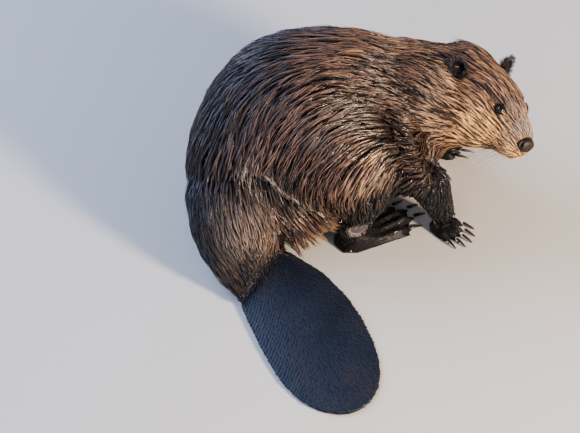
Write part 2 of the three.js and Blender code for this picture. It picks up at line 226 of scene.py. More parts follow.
# head frame: +X to the nose, +Y to the animal's left, +Z to the crown, from between the ears
headPlan = {
    "noseBelowEars": 56, "noseAheadOfEars": 120,  # mm, from the part
    "eye": (76, 24, -6),
}
headLeft = unit(midOf("eye_left") - midOf("eye_right"))
earMid = (midOf("ear_left") + midOf("ear_right")) / 2
toNose = midOf("nose_pad") - earMid
toNose = unit(toNose - headLeft * np.dot(toNose, headLeft))
noseUp = np.cross(toNose, headLeft)
droop = math.atan2(headPlan["noseBelowEars"], headPlan["noseAheadOfEars"])
headFore = toNose * math.cos(droop) + noseUp * math.sin(droop)
headUp = np.cross(headFore, headLeft)
eyeMid = (midOf("eye_left") + midOf("eye_right")) / 2
headAt = eyeMid - (headPlan["eye"][0] * headFore + headPlan["eye"][2] * headUp) * mm
headAxes = np.array([headFore, headLeft, headUp])


def inHead(points):
    return (np.asarray(points) - headAt) @ headAxes.T / mm


def fromHead(x, y, z):
    return headAt + (np.array([x, y, z], float) * mm) @ headAxes


def mirrored(values, side):
    # the right side's values in the head's frame (side -1) or the left side's (side 1)
    return np.array(values) * (1, side, 1)


eyePlan = {"at": (76, 24.5, -6), "outward": (0.24, 0.93, 0.28), "radius": 6.4, "sunk": 3.3, "wide": 6.2,
           "high": 5.6}


def eyeOf(side):
    # the way that an eye looks, and the middle of its ball
    outward = unit(mirrored(eyePlan["outward"], side))
    return outward, mirrored(eyePlan["at"], side) - outward * eyePlan["sunk"]


def fromEyes(local):
    # how far points in the head's frame are from each eye, mm
    return np.stack([np.linalg.norm(local - mirrored(eyePlan["at"], side), axis=1) for side in (-1, 1)])


# camera: very long lens, looking down at 45 degrees on the animal's right side
cameraPlan = {"aimedAt": (-0.0923, -0.026, 0.12), "distance": 10.74, "elevation": 45, "lens": 500}
tilt = math.radians(cameraPlan["elevation"])
back = Vector((0, -math.cos(tilt), math.sin(tilt)))
bpy.ops.object.camera_add()
camera = bpy.context.object
camera.name = "studioCamera"
camera.location = Vector(cameraPlan["aimedAt"]) + back * cameraPlan["distance"]
camera.rotation_euler = (-back).to_track_quat("-Z", "Y").to_euler()
camera.data.lens = cameraPlan["lens"]
camera.data.sensor_width = 36
camera.data.clip_start = 0.1
camera.data.clip_end = 40
bpy.context.scene.camera = camera

# studio light: a warm key from the right, a cool sky-like fill from the left and behind
lightPlan = {
    "key": {"at": (2.4, -1.65, 1.25), "size": 0.5, "power": 200, "colour": "#ffe9cf"},
    "sky": {"at": (-2.1, 1.0, 1.5), "size": 2.6, "power": 120, "colour": "#b4c8f4"},
    "front": {"at": (-0.9, -2.4, 2.2), "size": 2.0, "power": 22, "colour": "#dfe7ff"},
    "air": {"colour": "#c3cbd8", "strength": 0.45},
}
for name in ("key", "sky", "front"):
    plan = lightPlan[name]
    bpy.ops.object.light_add(type="AREA", location=plan["at"])
    lamp = bpy.context.object
    lamp.name = name + "Light"
    lamp.data.size = plan["size"]
    lamp.data.energy = plan["power"]
    lamp.data.color = linear(plan["colour"])[:3]
    aim = Vector((0, 0, 0.12)) - lamp.location
    lamp.rotation_euler = aim.to_track_quat("-Z", "Y").to_euler()
world = bpy.data.worlds.new("studioAir")
bpy.context.scene.world = world
world.use_nodes = True
air = world.node_tree.nodes["Background"]
air.inputs["Color"].default_value = linear(lightPlan["air"]["colour"])
air.inputs["Strength"].default_value = lightPlan["air"]["strength"]
bpy.context.scene.view_settings.look = "AgX - Medium High Contrast"
print("camera and light set")

# floor: matt painted studio floor
floorPlan = {"side": 9.0, "colour": "#d3cfc8"}
bpy.ops.mesh.primitive_plane_add(size=floorPlan["side"])
floor = bpy.context.object
floor.name = "studioFloor"
paint, tree, shader = newMaterial("mattFloorPaint")
plug(tree, shader, {"Base Color": linear(floorPlan["colour"]), "Roughness": 0.85})
floor.data.materials.append(paint)

# skin: one closed surface under the coat, from the flesh solids of the part
skinPlan = {
    "voxel": 2.1 * mm,
    "grow": 0.35 * mm,  # closes the thin cuts between solids
    "most": 176000,  # triangles
    # how deep the coat is in mm, how much the facets are evened out, and how much the coat hangs, sways and
    # keeps to the general lie
    "parts": {
        "trunk": (9.5, 1.0, 3.6, 1.0, 0.1), "thigh": (9.5, 1.0, 3.6, 1.0, 0.1),
        "neck": (7.5, 1.0, 0.5, 0.6, 0.1), "head": (3.2, 0.42, 0.15, 0.3, 0.1),
        "jaw": (2.6, 0.4, 0.2, 0.5, 0.1), "upper_arm": (6.0, 0.9, 2.2, 0.5, 0.1),
        "forearm": (2.2, 0.5, 5, 0.5, 0.8), "shank": (3.5, 0.6, 3, 0.5, 0.8),
        "hind_foot": (0.5, 0.3, 0.3, 0.5, 0.1), "forepaw": (0.4, 0.22, 0.6, 0.5, 0.1),
        "tail_base": (4.2, 0.8, 0.1, 0.25, 0.1), "tail_paddle": (0.9, 0.5, 0, 0.5, 0.1),
    },
}
sided = [(kind, kind + side) for kind in skinPlan["parts"] for side in ("", "_right", "_left")]
fleshKinds, fleshNames = zip(*[pair for pair in sided if pair[1] in nodes])
partDepth, partEven, partHang, partSway, partKeep = np.array([skinPlan["parts"][k] for k in fleshKinds]).T
partDepth = partDepth * mm
# where the tail's fur gives way to scales: a place on it, and its heading towards the paddle, degrees
furEnd = {"at": (-0.1293, -0.0286), "heading": -31}


def beyondFur(where):
    turn = math.radians(furEnd["heading"])
    return (where[:, :2] - np.array(furEnd["at"])) @ np.array((math.cos(turn), math.sin(turn)))


def partFinder():
    corners, faces, owners = [], [], []
    for index, name in enumerate(fleshNames):
        mesh = nodes[name].data
        start = len(corners)
        corners += [v.co.copy() for v in mesh.vertices]
        faces += [[start + k for k in face.vertices] for face in mesh.polygons]
        owners += [index] * len(mesh.polygons)
    return BVHTree.FromPolygons(corners, faces), np.array(owners)


cadTree, cadOwner = partFinder()
skin = copyOf(fleshNames, "skin")
addModifier(skin, "DISPLACE", strength=skinPlan["grow"], mid_level=0)
addModifier(skin, "REMESH", mode="VOXEL", voxel_size=skinPlan["voxel"])
applyAll(skin)

points = readPoints(skin.data)
wovenTree = treeOf(skin.data)
owner = cadOwner[nearestOn(cadTree, points)[2]]
edges = readAll(skin.data.edges, "vertices", 2, int)
evenness = spread(partEven[owner], edges, 6)
# the tail's root is eased down to the paddle
onTail = np.isin(owner, [fleshNames.index("tail_base"), fleshNames.index("tail_paddle")])
evenness = np.maximum(evenness, bump(beyondFur(points), 0, 0.028) * onTail)
addWeights(skin, "even", evenness, 20)
addModifier(skin, "SMOOTH", factor=0.5, iterations=46, vertex_group="even")
applyAll(skin)
print("skin woven:", len(skin.data.polygons), "faces")


def smoothLine(stations, count):
    # an even run of points on a rounded line through the stations
    line = np.array(stations, float)
    for _ in range(3):
        middle = 0.75 * line[:-1] + 0.25 * line[1:]
        after = 0.25 * line[:-1] + 0.75 * line[1:]
        line = np.concatenate([line[:1], np.stack([middle, after], 1).reshape(-1, 3), line[-1:]])
    step = np.concatenate([[0], np.cumsum(np.linalg.norm(np.diff(line, axis=0), axis=1))])
    even = np.linspace(0, step[-1], count)
    return np.stack([np.interp(even, step, line[:, k]) for k in range(3)], 1)


# the crease where the shoulder's coat meets the thigh's, and the hem of the rump's coat over the tail's root
bodyMiddle = 0.145  # the trunk's own middle plane
linePoints = 60
bodyLines = {
    "crease": {
        "stations": [
            (-0.035, 0.078, 0.252), (-0.015, 0.076, 0.246), (0.010, 0.076, 0.236), (0.034, 0.074, 0.220),
            (0.048, 0.060, 0.197), (0.055, 0.045, 0.175), (0.057, 0.035, 0.146), (0.052, 0.030, 0.115)],
        "across": (-0.75, -0.45, -0.5), "deep": 10 * mm, "shadow": (0.94, 0.60), "shadowWide": (0.015, 0.006),
    },
    "hem": {
        "stations": [
            (-0.185, 0.043, 0.134), (-0.168, 0.038, 0.139), (-0.152, 0.033, 0.142), (-0.136, 0.029, 0.139),
            (-0.119, 0.024, 0.133), (-0.096, 0.016, 0.109), (-0.075, 0.012, 0.095), (-0.043, 0.012, 0.077)],
        "across": (0.1, -0.35, -0.93), "deep": 8.0 * mm,
    },
}
laid = {}  # each line where it lies on the skin


def besideLine(where, name):
    # how far points are to one side of a line, how far from it, how far from its ends, and its nearest points
    gaps = np.linalg.norm(where[:, None] - laid[name][None], axis=2)
    at = gaps.argmin(1)
    aside = (where - laid[name][at]) @ unit(np.array(bodyLines[name]["across"]))
    ends = ease(0, 8, at) * ease(linePoints - 1, linePoints - 9, at)
    return aside, gaps.min(1), ends, at


def onRight(where):
    # the left side's points brought over to the right
    flipped = where.copy()
    flipped[:, 1] = np.minimum(flipped[:, 1], 2 * bodyMiddle - flipped[:, 1])
    return flipped


# the coat's depth is taken off the skin, less of it round the eyes and the nose
depth = spread(partDepth[owner], edges, 22)
points = readPoints(skin.data)
nearHead = inHead(points)
for away in fromEyes(nearHead):
    depth *= 0.35 + 0.65 * ease(9, 26, away)
muzzleAway = np.linalg.norm(nearHead - (112, 0, -44), axis=1)
depth *= 0.3 + 0.7 * ease(16, 48, muzzleAway)
for _ in range(3):
    # how far each point is outside the solids, so that the evening-out costs the outline nothing
    foot, faceUp, _ = nearestOn(wovenTree, points)
    outside = np.sign(((points - foot) * faceUp).sum(1)) * np.linalg.norm(points - foot, axis=1)
    move = spread(np.clip(-depth - outside, -16 * mm, 16 * mm), edges, 16)
    writePoints(skin.data, points + readNormals(skin.data) * move[:, None])
    addModifier(skin, "SMOOTH", factor=0.5, iterations=4, vertex_group="even")
    applyAll(skin)
    points = readPoints(skin.data)

# the crease is steep on the thigh's side, and the coat under the hem lies lower
thinTree = treeOf(skin.data)
outOfSkin = {}
for name, line in bodyLines.items():
    laid[name], outOfSkin[name], _ = nearestOn(thinTree, smoothLine(line["stations"], linePoints))
away, near, ends, _ = besideLine(onRight(points), "crease")
crease = bump(near, 0, np.where(away > 0, 6 * mm, 14 * mm)) * ends * bodyLines["crease"]["deep"]
away, near, ends, _ = besideLine(points, "hem")
under = ease(-1 * mm, 4 * mm, away) * np.exp(-np.maximum(away, 0) / 0.02) * ends * (near < 0.05)
points = points - readNormals(skin.data) * (crease + under * bodyLines["hem"]["deep"])[:, None]
points[:, 2] = np.maximum(points[:, 2], 0.1 * mm)
writePoints(skin.data, points)
laid["crease"] = laid["crease"] - outOfSkin["crease"] * bodyLines["crease"]["deep"] * 0.9
print("crease and hem pressed in")


def chooseFaces(mesh, passed):
    # selects, in object mode, the faces whose corners have all passed
    corners = readAll(mesh.loops, "vertex_index", 1, int)
    starts = readAll(mesh.polygons, "loop_start", 1, int)
    mesh.vertices.foreach_set("select", np.zeros(len(mesh.vertices), bool))
    mesh.edges.foreach_set("select", np.zeros(len(mesh.edges), bool))
    mesh.polygons.foreach_set("select", np.minimum.reduceat(passed[corners].astype(int), starts).astype(bool))


# finer faces round the eyes, nose and mouth
pickOnly(skin)
for reach in (19, 14):
    local = inHead(readPoints(skin.data))
    byNose = np.linalg.norm(local - (116, 0, -44), axis=1) < reach + 8
    chooseFaces(skin.data, (fromEyes(local).min(0) < reach) | byNose)
    bpy.ops.object.mode_set(mode="EDIT")
    bpy.ops.mesh.select_mode(type="FACE")
    bpy.ops.mesh.subdivide(number_cuts=1, quadcorner="INNERVERT")
    bpy.ops.object.mode_set(mode="OBJECT")

# eyelids: the skin is drawn over each ball and opens in a rounded slit
local = inHead(readPoints(skin.data))
for side in (-1, 1):
    outward, centre = eyeOf(side)
    along = unit(np.array((1.0, 0, 0)) - outward * outward[0])
    upward = np.cross(outward, along) * side
    rel = local - centre
    out = rel @ outward
    across, high = rel @ along, rel @ upward
    # corners of the lids point fore and aft, the front one lower
    ring = np.hypot(across / eyePlan["wide"], (high + 0.10 * across) / eyePlan["high"])
    lidRadius = eyePlan["radius"] + 0.8 + 0.45 * bump(ring, 1.32, 0.22)
    lid = np.sqrt(np.maximum(lidRadius ** 2 - np.hypot(across, high) ** 2, 0))
    fold = 0.9 * bump(ring, 1.95, 0.18) * (high > -1.5)
    mix = ease(1.45, 2.6, ring)
    target = lid * (1 - mix) + out * mix - fold
    target = np.where(ring < 1.0, np.minimum(lid, eyePlan["radius"] - 2.6), target)
    close = (out > -7) & (np.linalg.norm(rel, axis=1) < 22)
    local = local + (np.where(close, target, out) - out)[:, None] * outward
points = headAt + (local * mm) @ headAxes

# mouth: a shallow line under the lip, and the split of the upper lip
mouthPlan = {"height": -55.9, "slope": -0.0875, "from": 62, "to": 119, "depth": 3.2, "split": 1.6}


def overMouth(local):
    # how far points in the head's frame are above the mouth's line
    return local[:, 2] - (mouthPlan["height"] + mouthPlan["slope"] * (local[:, 0] - 90))


local = inHead(points)
onLine = bump(overMouth(local), 0, 1.5) * ease(mouthPlan["from"], mouthPlan["from"] + 14, local[:, 0])
onLine *= ease(mouthPlan["to"] + 12, mouthPlan["to"] - 4, local[:, 0]) * (np.abs(local[:, 1]) < 34)
split = bump(local[:, 1], 0, 1.1) * ease(100, 112, local[:, 0]) * ease(-44, -50, local[:, 2])
split *= ease(-60, -56, local[:, 2])
writePoints(skin.data, points)
pressed = (onLine * mouthPlan["depth"] + split * mouthPlan["split"]) * mm
points = points - readNormals(skin.data) * pressed[:, None]
writePoints(skin.data, points)
print("lids and mouth shaped")

# fewer faces where the coat hides them
hidden = ease(48, 75, np.linalg.norm(inHead(points) - (80, 0, -30), axis=1))
footLow = ease(0.075, 0.045, points[:, 2])
addWeights(skin, "hidden", hidden * (1 - 0.8 * footLow), 10)
ratio = skinPlan["most"] / countTriangles(skin.data)
addModifier(skin, "DECIMATE", ratio=ratio, vertex_group="hidden", vertex_group_factor=1.0)
applyAll(skin)
bpy.ops.object.shade_smooth()
editAll(skin, bpy.ops.uv.smart_project, angle_limit=math.radians(66), island_margin=0.002)
skin.data.uv_layers[0].name = "OFBake"
print("skin:", countTriangles(skin.data), "triangles, unwrapped")

# the lie of the coat: back along the spine from nose to tail, and down where it hangs
spinePlan = [
    (0.235, 0.072, 0.165), (0.200, 0.117, 0.200), (0.161, 0.167, 0.222), (0.110, 0.165, 0.235),
    (0.030, 0.152, 0.258), (-0.066, 0.140, 0.272), (-0.118, 0.128, 0.240), (-0.155, 0.105, 0.180),
    (-0.170, 0.060, 0.105), (-0.158, 0.012, 0.055), (-0.132, -0.026, 0.025), (-0.080, -0.095, 0.012),
    (-0.040, -0.190, 0.010), (-0.011, -0.277, 0.008),
]
spine = smoothLine(spinePlan, 60)
spineWay = unit(np.gradient(spine, axis=0))

mesh = skin.data
points = readPoints(mesh)
normals = readNormals(mesh)
edges = readAll(mesh.edges, "vertices", 2, int)
owner = cadOwner[nearestOn(cadTree, points)[2]]
ownerKind = np.array(fleshKinds)[owner]
gap2 = ((points[:, None, :] - spine[None]) ** 2).sum(2)
share = np.exp(-(gap2 - gap2.min(1, keepdims=True)) / (2 * 0.030 ** 2))
backward = unit((share[:, :, None] * spineWay[None]).sum(1) / share.sum(1)[:, None])
down = np.array([0, 0, -1.0])
# little of it hangs near the spine's crest, all of it low on the flanks
body = np.isin(ownerKind, ["trunk", "thigh"])
hang = np.where(body, partHang[owner] * ease(0.25, 0.06, points[:, 2]), partHang[owner])
# the tail's root is swept along its own line
hang *= np.where(body, 1 - 0.85 * ease(-0.085, -0.15, points[:, 0]) * ease(0.12, 0.05, points[:, 1]), 1)
comb = backward + down * spread(hang, edges, 40)[:, None]


def ripple(where, span, seed):
    # a smooth field between about -1 and 1 that changes over the span
    dice = np.random.default_rng(seed)
    total = np.zeros(len(where))
    for _ in range(6):
        wave = unit(dice.normal(size=3)) * 2 * math.pi / (span * dice.uniform(0.7, 1.5))
        total += np.sin(where @ wave + dice.uniform(0, 6.28))
    return total / 2.45


# named places where the lie of the coat is set, and the way it runs there; the left side mirrors the right
combReach = 0.026
combSpots = {
    "nape": ((0.115, 0.150, 0.235), (-0.9, -0.1, 0.4)),
    "shoulderTop": ((0.055, 0.100, 0.235), (-0.75, 0.30, 0.60)),
    "neckSide": ((0.090, 0.090, 0.210), (-0.75, 0.05, 0.65)),
    "shoulderMiddle": ((0.068, 0.085, 0.205), (-0.78, 0.22, 0.62)),
    "shoulderBehind": ((0.040, 0.092, 0.235), (-0.78, 0.32, 0.56)),
    "throat": ((0.110, 0.085, 0.170), (-0.90, 0.0, 0.45)),
    "upperArm": ((0.070, 0.050, 0.170), (-0.95, -0.20, 0.15)),
    "elbow": ((0.075, 0.045, 0.130), (-0.75, -0.20, -0.60)),
    "hump": ((-0.020, 0.120, 0.275), (-0.90, 0.30, 0.10)),
    "humpBehind": ((-0.105, 0.150, 0.265), (-0.90, -0.40, -0.20)),
    "rumpTop": ((-0.150, 0.120, 0.240), (-0.60, -0.55, -0.55)),
    "rumpSide": ((-0.185, 0.095, 0.200), (-0.35, -0.55, -0.75)),
    "rumpLow": ((-0.215, 0.065, 0.135), (-0.15, -0.65, -0.75)),
    "flankTop": ((-0.055, 0.100, 0.265), (-0.93, -0.28, -0.21)),
    "flankBehind": ((-0.105, 0.080, 0.250), (-0.60, -0.50, -0.60)),
    "haunchTop": ((-0.140, 0.060, 0.205), (-0.33, -0.38, -0.86)),
    "haunch": ((-0.165, 0.045, 0.155), (-0.28, -0.39, -0.88)),
    "creaseTop": ((-0.025, 0.070, 0.240), (-0.91, -0.39, -0.09)),
    "creaseMiddle": ((0.015, 0.065, 0.220), (-0.85, -0.50, 0.10)),
    "creaseFoot": ((0.030, 0.045, 0.190), (-0.82, -0.56, -0.13)),
    "flankMiddle": ((-0.065, 0.050, 0.225), (-0.75, -0.40, -0.50)),
    "thighBehind": ((-0.090, 0.030, 0.190), (-0.44, -0.22, -0.87)),
    "thighTop": ((-0.010, 0.025, 0.195), (-0.80, -0.38, -0.46)),
    "thighMiddle": ((-0.050, 0.010, 0.170), (-0.36, -0.27, -0.89)),
    "thighLow": ((-0.080, 0.010, 0.140), (-0.10, -0.20, -0.97)),
    "thighHem": ((-0.040, 0.005, 0.115), (0.0, 0.0, -1.0)),
    "thighFront": ((0.000, 0.010, 0.150), (-0.40, -0.30, -0.85)),
    "knee": ((0.035, 0.020, 0.130), (-0.10, 0.0, -1.0)),
    "innerLeg": ((-0.070, 0.014, 0.055), (0.85, -0.10, -0.45)),
    "tailLeft": ((-0.220, 0.040, 0.095), (0.05, -0.85, -0.50)),
    "tailTurn": ((-0.180, -0.040, 0.060), (0.60, -0.65, -0.45)),
    "tailTop": ((-0.146, 0.005, 0.090), (0.05, -0.75, -0.65)),
    "tailFurEnd": ((-0.130, -0.015, 0.065), (0.30, -0.70, -0.65)),
}
general = partKeep[owner]
onFace = np.isin(ownerKind, ["head", "jaw"])
general[onFace] = 0.15 + 1.05 * ease(-30, 20, inHead(points[onFace])[:, 0])
comb = unit(comb) * spread(general, edges, 12)[:, None]
for at, way in combSpots.values():
    for side in (1, -1):
        spot = np.array((at[0], at[1] if side > 0 else 2 * bodyMiddle - at[1], at[2]))
        pull = nearness(points, spot, combReach)
        comb = comb + pull[:, None] * unit(mirrored(way, side))

# on the shoulder's side of the crease the coat runs up along it
creaseAside, creaseNear, creaseEnds, creaseAt = besideLine(onRight(points), "crease")
upCrease = -unit(np.gradient(laid["crease"], axis=0))[creaseAt]
upCrease[:, 1] *= np.where(points[:, 1] > bodyMiddle, -1, 1)
pull = (ease(0.034, 0.010, creaseNear) * ease(0.004, -0.004, creaseAside) * creaseEnds)[:, None]
comb = unit(comb) * (1 - pull) + upCrease * pull


def alongSkin(comb):
    return comb - normals * (comb * normals).sum(1)[:, None]


# wet fur parts and meets again, in waves some 90 mm and 35 mm long
sway = spread(partSway[owner], edges, 20)
sway *= 0.10 * ripple(points, 0.090, 3) + 0.10 * ripple(points, 0.035, 5)
comb = unit(alongSkin(comb))
comb = comb + np.cross(normals, comb) * sway[:, None]
# feet: from the heel to the toes
feet = {"hind_foot_right": 38, "hind_foot_left": -8, "forepaw_right": -38, "forepaw_left": 8}
for name, heading in feet.items():
    turn = math.radians(heading)
    comb[owner == fleshNames.index(name)] = (math.cos(turn), math.sin(turn), -0.3)
comb = unit(spread(unit(alongSkin(comb)), edges, 8))
comb = unit(alongSkin(comb))

# markings: named spots, each with its place and reach, its warmth (0 blue-black, 1 gold), its light and its
# wetness; some spots hold painted light and shade, as noted by them
markSpots = {
    # painted shade with a painted sky reflection: the rump darker and bluer, its middle lighter and cooler as
    # painted sheen
    "rump": ((-0.190, 0.110, 0.160), 0.055, 0.02, 0.85, 0.7),
    "rumpMiddle": ((-0.150, 0.060, 0.190), 0.045, 0.14, 1.90, 0.7),
    "farRump": ((-0.150, 0.200, 0.140), 0.060, 0.14, 0.75, 0.7),
    "backTop": ((-0.060, 0.170, 0.265), 0.055, 0.40, 0.85, 0.6),
    # painted shade with a painted sky reflection: the back's left side darker and bluer
    "backLeft": ((-0.125, 0.150, 0.240), 0.045, 0.12, 0.40, 0.4),
    "shoulderTop": ((0.040, 0.150, 0.250), 0.050, 0.44, 0.80, 0.5),
    "flankHigh": ((-0.040, 0.060, 0.215), 0.045, 0.36, 0.82, 1.0),
    "flankMid": ((-0.060, 0.030, 0.150), 0.045, 0.34, 0.74, 1.0),
    "flankLow": ((-0.040, 0.020, 0.080), 0.045, 0.32, 0.60, 1.0),
    "farFlank": ((-0.040, 0.255, 0.150), 0.070, 0.36, 0.75, 0.8),
    # painted highlight: the front of the thigh lighter and warmer
    "thighFront": ((0.028, 0.025, 0.140), 0.030, 0.66, 2.1, 1.0),
    "shoulder": ((0.075, 0.080, 0.200), 0.042, 0.40, 0.46, 0.6),
    "chest": ((0.095, 0.100, 0.130), 0.040, 0.38, 2.30, 0.5),
    "farShoulder": ((0.075, 0.220, 0.180), 0.050, 0.50, 0.95, 0.5),
    "nape": ((0.100, 0.165, 0.235), 0.045, 0.46, 0.60, 0.4),
    # painted shade with a painted sky reflection: the left of the tail's root darker and bluer
    "tailRoot": ((-0.205, 0.010, 0.080), 0.044, 0.05, 0.36, 0.1),
    "tailFur": ((-0.140, 0.000, 0.085), 0.032, 0.22, 1.70, 0.4),
    "innerLeg": ((-0.060, 0.022, 0.052), 0.022, 0.68, 0.66, 0.6),
    "tailEnd": ((-0.155, -0.045, 0.040), 0.026, 0.14, 0.52, 0.4),
    # painted sheen on the tail's root
    "tailSheen": ((-0.128, -0.010, 0.068), 0.014, 0.62, 1.35, 0.4),
    "belly": ((-0.020, 0.140, 0.020), 0.060, 0.30, 0.60, 0.6),
}
headSpots = {
    "crown": ((20, 0, 14), 24, 0.52, 0.95, 0.3),
    "brow": ((70, 0, -5), 20, 0.58, 1.05, 0.2),
    "bridge": ((100, 0, -18), 15, 0.60, 1.60, 0.2),
    "cheek": ((52, 32, -45), 25, 0.90, 1.30, 0.2),
    "underEye": ((82, 25, -34), 14, 0.88, 1.38, 0.2),
    "jowl": ((30, 32, -72), 20, 0.80, 1.05, 0.3),
    "lip": ((108, 14, -58), 10, 0.95, 1.45, 0.1),
    # painted shade under the jaw
    "chin": ((84, 0, -70), 12, 0.45, 0.35, 0.3),
    "behindEar": ((-22, 46, -22), 19, 0.58, 0.64, 0.3),
    "underEar": ((9, 47, -7), 8, 0.86, 1.35, 0.3),
}


def marksAt(where):
    total = np.full(len(where), 1e-9)
    sums = np.zeros((len(where), 3))
    spots = [(np.array(at), reach, marks) for at, reach, *marks in markSpots.values()]
    for at, reach, *marks in headSpots.values():
        for side in ((1,) if at[1] == 0 else (-1, 1)):
            spots.append((fromHead(at[0], at[1] * side, at[2]), reach * mm, marks))
    for at, reach, marks in spots:
        weight = nearness(where, at, reach) / reach
        total += weight
        sums += weight[:, None] * np.array(marks)
    return sums / total[:, None]


# paler, greyer places: the bridge of the nose and the lip, and painted sheen on the wet coat of the flank,
# the thigh and the top of the tail's root
paleSpots = {
    "bridge": (fromHead(108, 0, -20), 0.014, 0.95),
    "browFront": (fromHead(88, 0, -6), 0.014, 0.50),
    "lipRight": (fromHead(111, -13, -50), 0.007, 0.45),
    "lipLeft": (fromHead(111, 13, -50), 0.007, 0.45),
    "tailTop": ((-0.145, 0.000, 0.085), 0.030, 0.30),
    "flankSheen": ((0.000, 0.060, 0.225), 0.020, 0.35),
    "thighSheen": ((0.024, 0.022, 0.145), 0.018, 0.45),
}
pale = np.zeros(len(points))
for at, reach, much in paleSpots.values():
    pale = np.maximum(pale, much * nearness(points, at, reach))
# a bare wet patch on the heel, with a rim of pale hair
heelPatch = {"at": (0.0065, 0.0295, 0.0425), "stretch": (0.60, 0.60, 1.10), "reach": 0.0115,
             "rim": 0.70, "rimAt": 0.0122, "rimWide": 0.0018}
heelAway = np.linalg.norm((points - np.array(heelPatch["at"])) * heelPatch["stretch"], axis=1)
pale = np.maximum(pale, heelPatch["rim"] * bump(heelAway, heelPatch["rimAt"], heelPatch["rimWide"]))
marks = marksAt(points)
# painted shadow: the crease and the hem are darkened
shadow = np.where(creaseAside > 0, *bodyLines["crease"]["shadow"]) * creaseEnds
shadowWide = np.where(creaseAside > 0, *bodyLines["crease"]["shadowWide"])
marks[:, 1] *= 1 - shadow * bump(creaseNear, 0, shadowWide)
away, near, ends, _ = besideLine(points, "hem")
marks[:, 1] *= 1 - 0.65 * ends * bump(away, 0.008, 0.008) * (near < 0.03)
# painted highlight: the hem's wet rim is given the pale colour
rim = bump(away, -0.003, 0.0032) * (near < 0.012)
pale = np.maximum(pale, 0.95 * rim * ease(-0.150, -0.138, points[:, 0]) * ease(-0.060, -0.090, points[:, 0]))
# how much of the limbs' dark each place takes: the wet feet, forearms and shanks with mud on them, and
# painted shade low on the upper arm
limbDark = np.isin(ownerKind, ["forearm", "forepaw", "hind_foot"]).astype(float)
limbDark[ownerKind == "shank"] = 0.95
# painted shade: the upper arm is darkened below a slanting line
aboveDarkArm = points[:, 2] - 0.130 - 0.4 * (points[:, 0] - 0.050)
limbDark = np.where(ownerKind == "upper_arm", ease(0.014, 0.003, aboveDarkArm), limbDark)
atKnee = ease(-0.045, -0.028, points[:, 0]) * ease(0.106, 0.090, points[:, 2])
atKnee *= onRight(points)[:, 1] < 0.10
limbDark = np.where(np.isin(ownerKind, ["thigh", "trunk"]), np.maximum(limbDark, 0.9 * atKnee), limbDark)
limbDark = spread(limbDark, edges, 6)
marks[:, 1] *= 1 - 0.75 * limbDark
# darker round the eyes
eyeNear = fromEyes(inHead(points)).min(0)
marks[:, 1] *= 1 - 0.85 * ease(10.0, 8.2, eyeNear)
bare = np.isin(ownerKind, ["tail_base", "tail_paddle"]) & (beyondFur(points) > -0.002)
bare = spread(bare.astype(float), edges, 3)
# it is the hairs that are pale, not the skin under them
skinPale = 0.2 * pale * (heelAway > 0.02)
for name, values in (("warmth", marks[:, 0]), ("light", marks[:, 1]), ("wet", marks[:, 2]),
                     ("limb", limbDark), ("pale", skinPale), ("bare", bare)):
    writeMark(mesh, name, values)
print("coat combed and marked")

# the colours that skin and coat share, from the rump's blue-black, which holds a painted sky reflection, to
# the golden cheek
coatRamp = [(0.0, "#25252f"), (0.22, "#403738"), (0.42, "#5e4b43"), (0.60, "#7f6253"), (0.80, "#ac855f"),
            (1.0, "#d8b07c")]
# the pale colour is pale hair and also painted sheen and painted highlight on the coat
mudAndShadeColour, paleAndSheenColour = "#201e20", "#c0b1a6"


def coatColour(tree, ofHair):
    names = ["warmth", "light", "limb", "pale"]
    if ofHair:
        names += ["tone", "along"]
    mark = {name: addNode(tree, "Attribute", {"attribute_name": name}, out="Fac") for name in names}
    place = addNode(tree, "TexCoord", out="Object")
    # soft patches, some 40 mm across, and hairs that differ and pale towards their tips
    patch = addNode(tree, "TexNoise", {}, {"Vector": place, "Scale": 24.0, "Detail": 3.0})
    leanings = [(patch, 0.22, -0.11)]
    if ofHair:
        leanings += [(mark["tone"], 0.6, -0.3), (mark["along"], 0.16, -0.04)]
    warm = mark["warmth"]
    for source, much, start in leanings:
        lean = addNode(tree, "Math", {"operation": "MULTIPLY_ADD"}, {0: source, 1: much, 2: start})
        warm = addNode(tree, "Math", {"operation": "ADD"}, {0: warm, 1: lean})
    colour = addNode(tree, "ValToRGB", {}, {"Fac": warm}, stops=coatRamp)
    pale = mark["pale"]
    if ofHair:
        rise = addNode(tree, "MapRange", {}, {"Value": mark["along"], "From Max": 0.5, "To Min": 0.4})
        strength = addNode(tree, "Math", {"operation": "MULTIPLY"}, {0: mark["light"], 1: rise})
        # the pale colour, pale hair and painted sheen, lies more on some hairs than others
        some = addNode(tree, "Math", {"operation": "MULTIPLY_ADD"}, {0: mark["tone"], 1: 1.1, 2: 0.3})
        pale = addNode(tree, "Math", {"operation": "MULTIPLY", "use_clamp": True}, {0: pale, 1: some})
    else:
        # the skin under the coat is dimmed: the underfur's own dark and painted shade between the locks
        strength = addNode(tree, "Math", {"operation": "MULTIPLY"}, {0: mark["light"], 1: 0.4})
        strength = addNode(tree, "Math", {"operation": "MINIMUM"}, {0: strength, 1: 0.42})
    shown = addNode(tree, "Mix", {"data_type": "RGBA", "blend_type": "MULTIPLY"},
                    {"Factor": 1.0, 6: colour, 7: strength}, 2)
    # mud on the limbs, and painted shade low on the upper arm
    mudAndShade = addNode(tree, "Mix", {"data_type": "RGBA"},
                    {"Factor": mark["limb"], 6: shown, 7: linear(mudAndShadeColour)}, 2)
    return addNode(tree, "Mix", {"data_type": "RGBA"}, {"Factor": pale, 6: mudAndShade, 7: linear(paleAndSheenColour)}, 2)


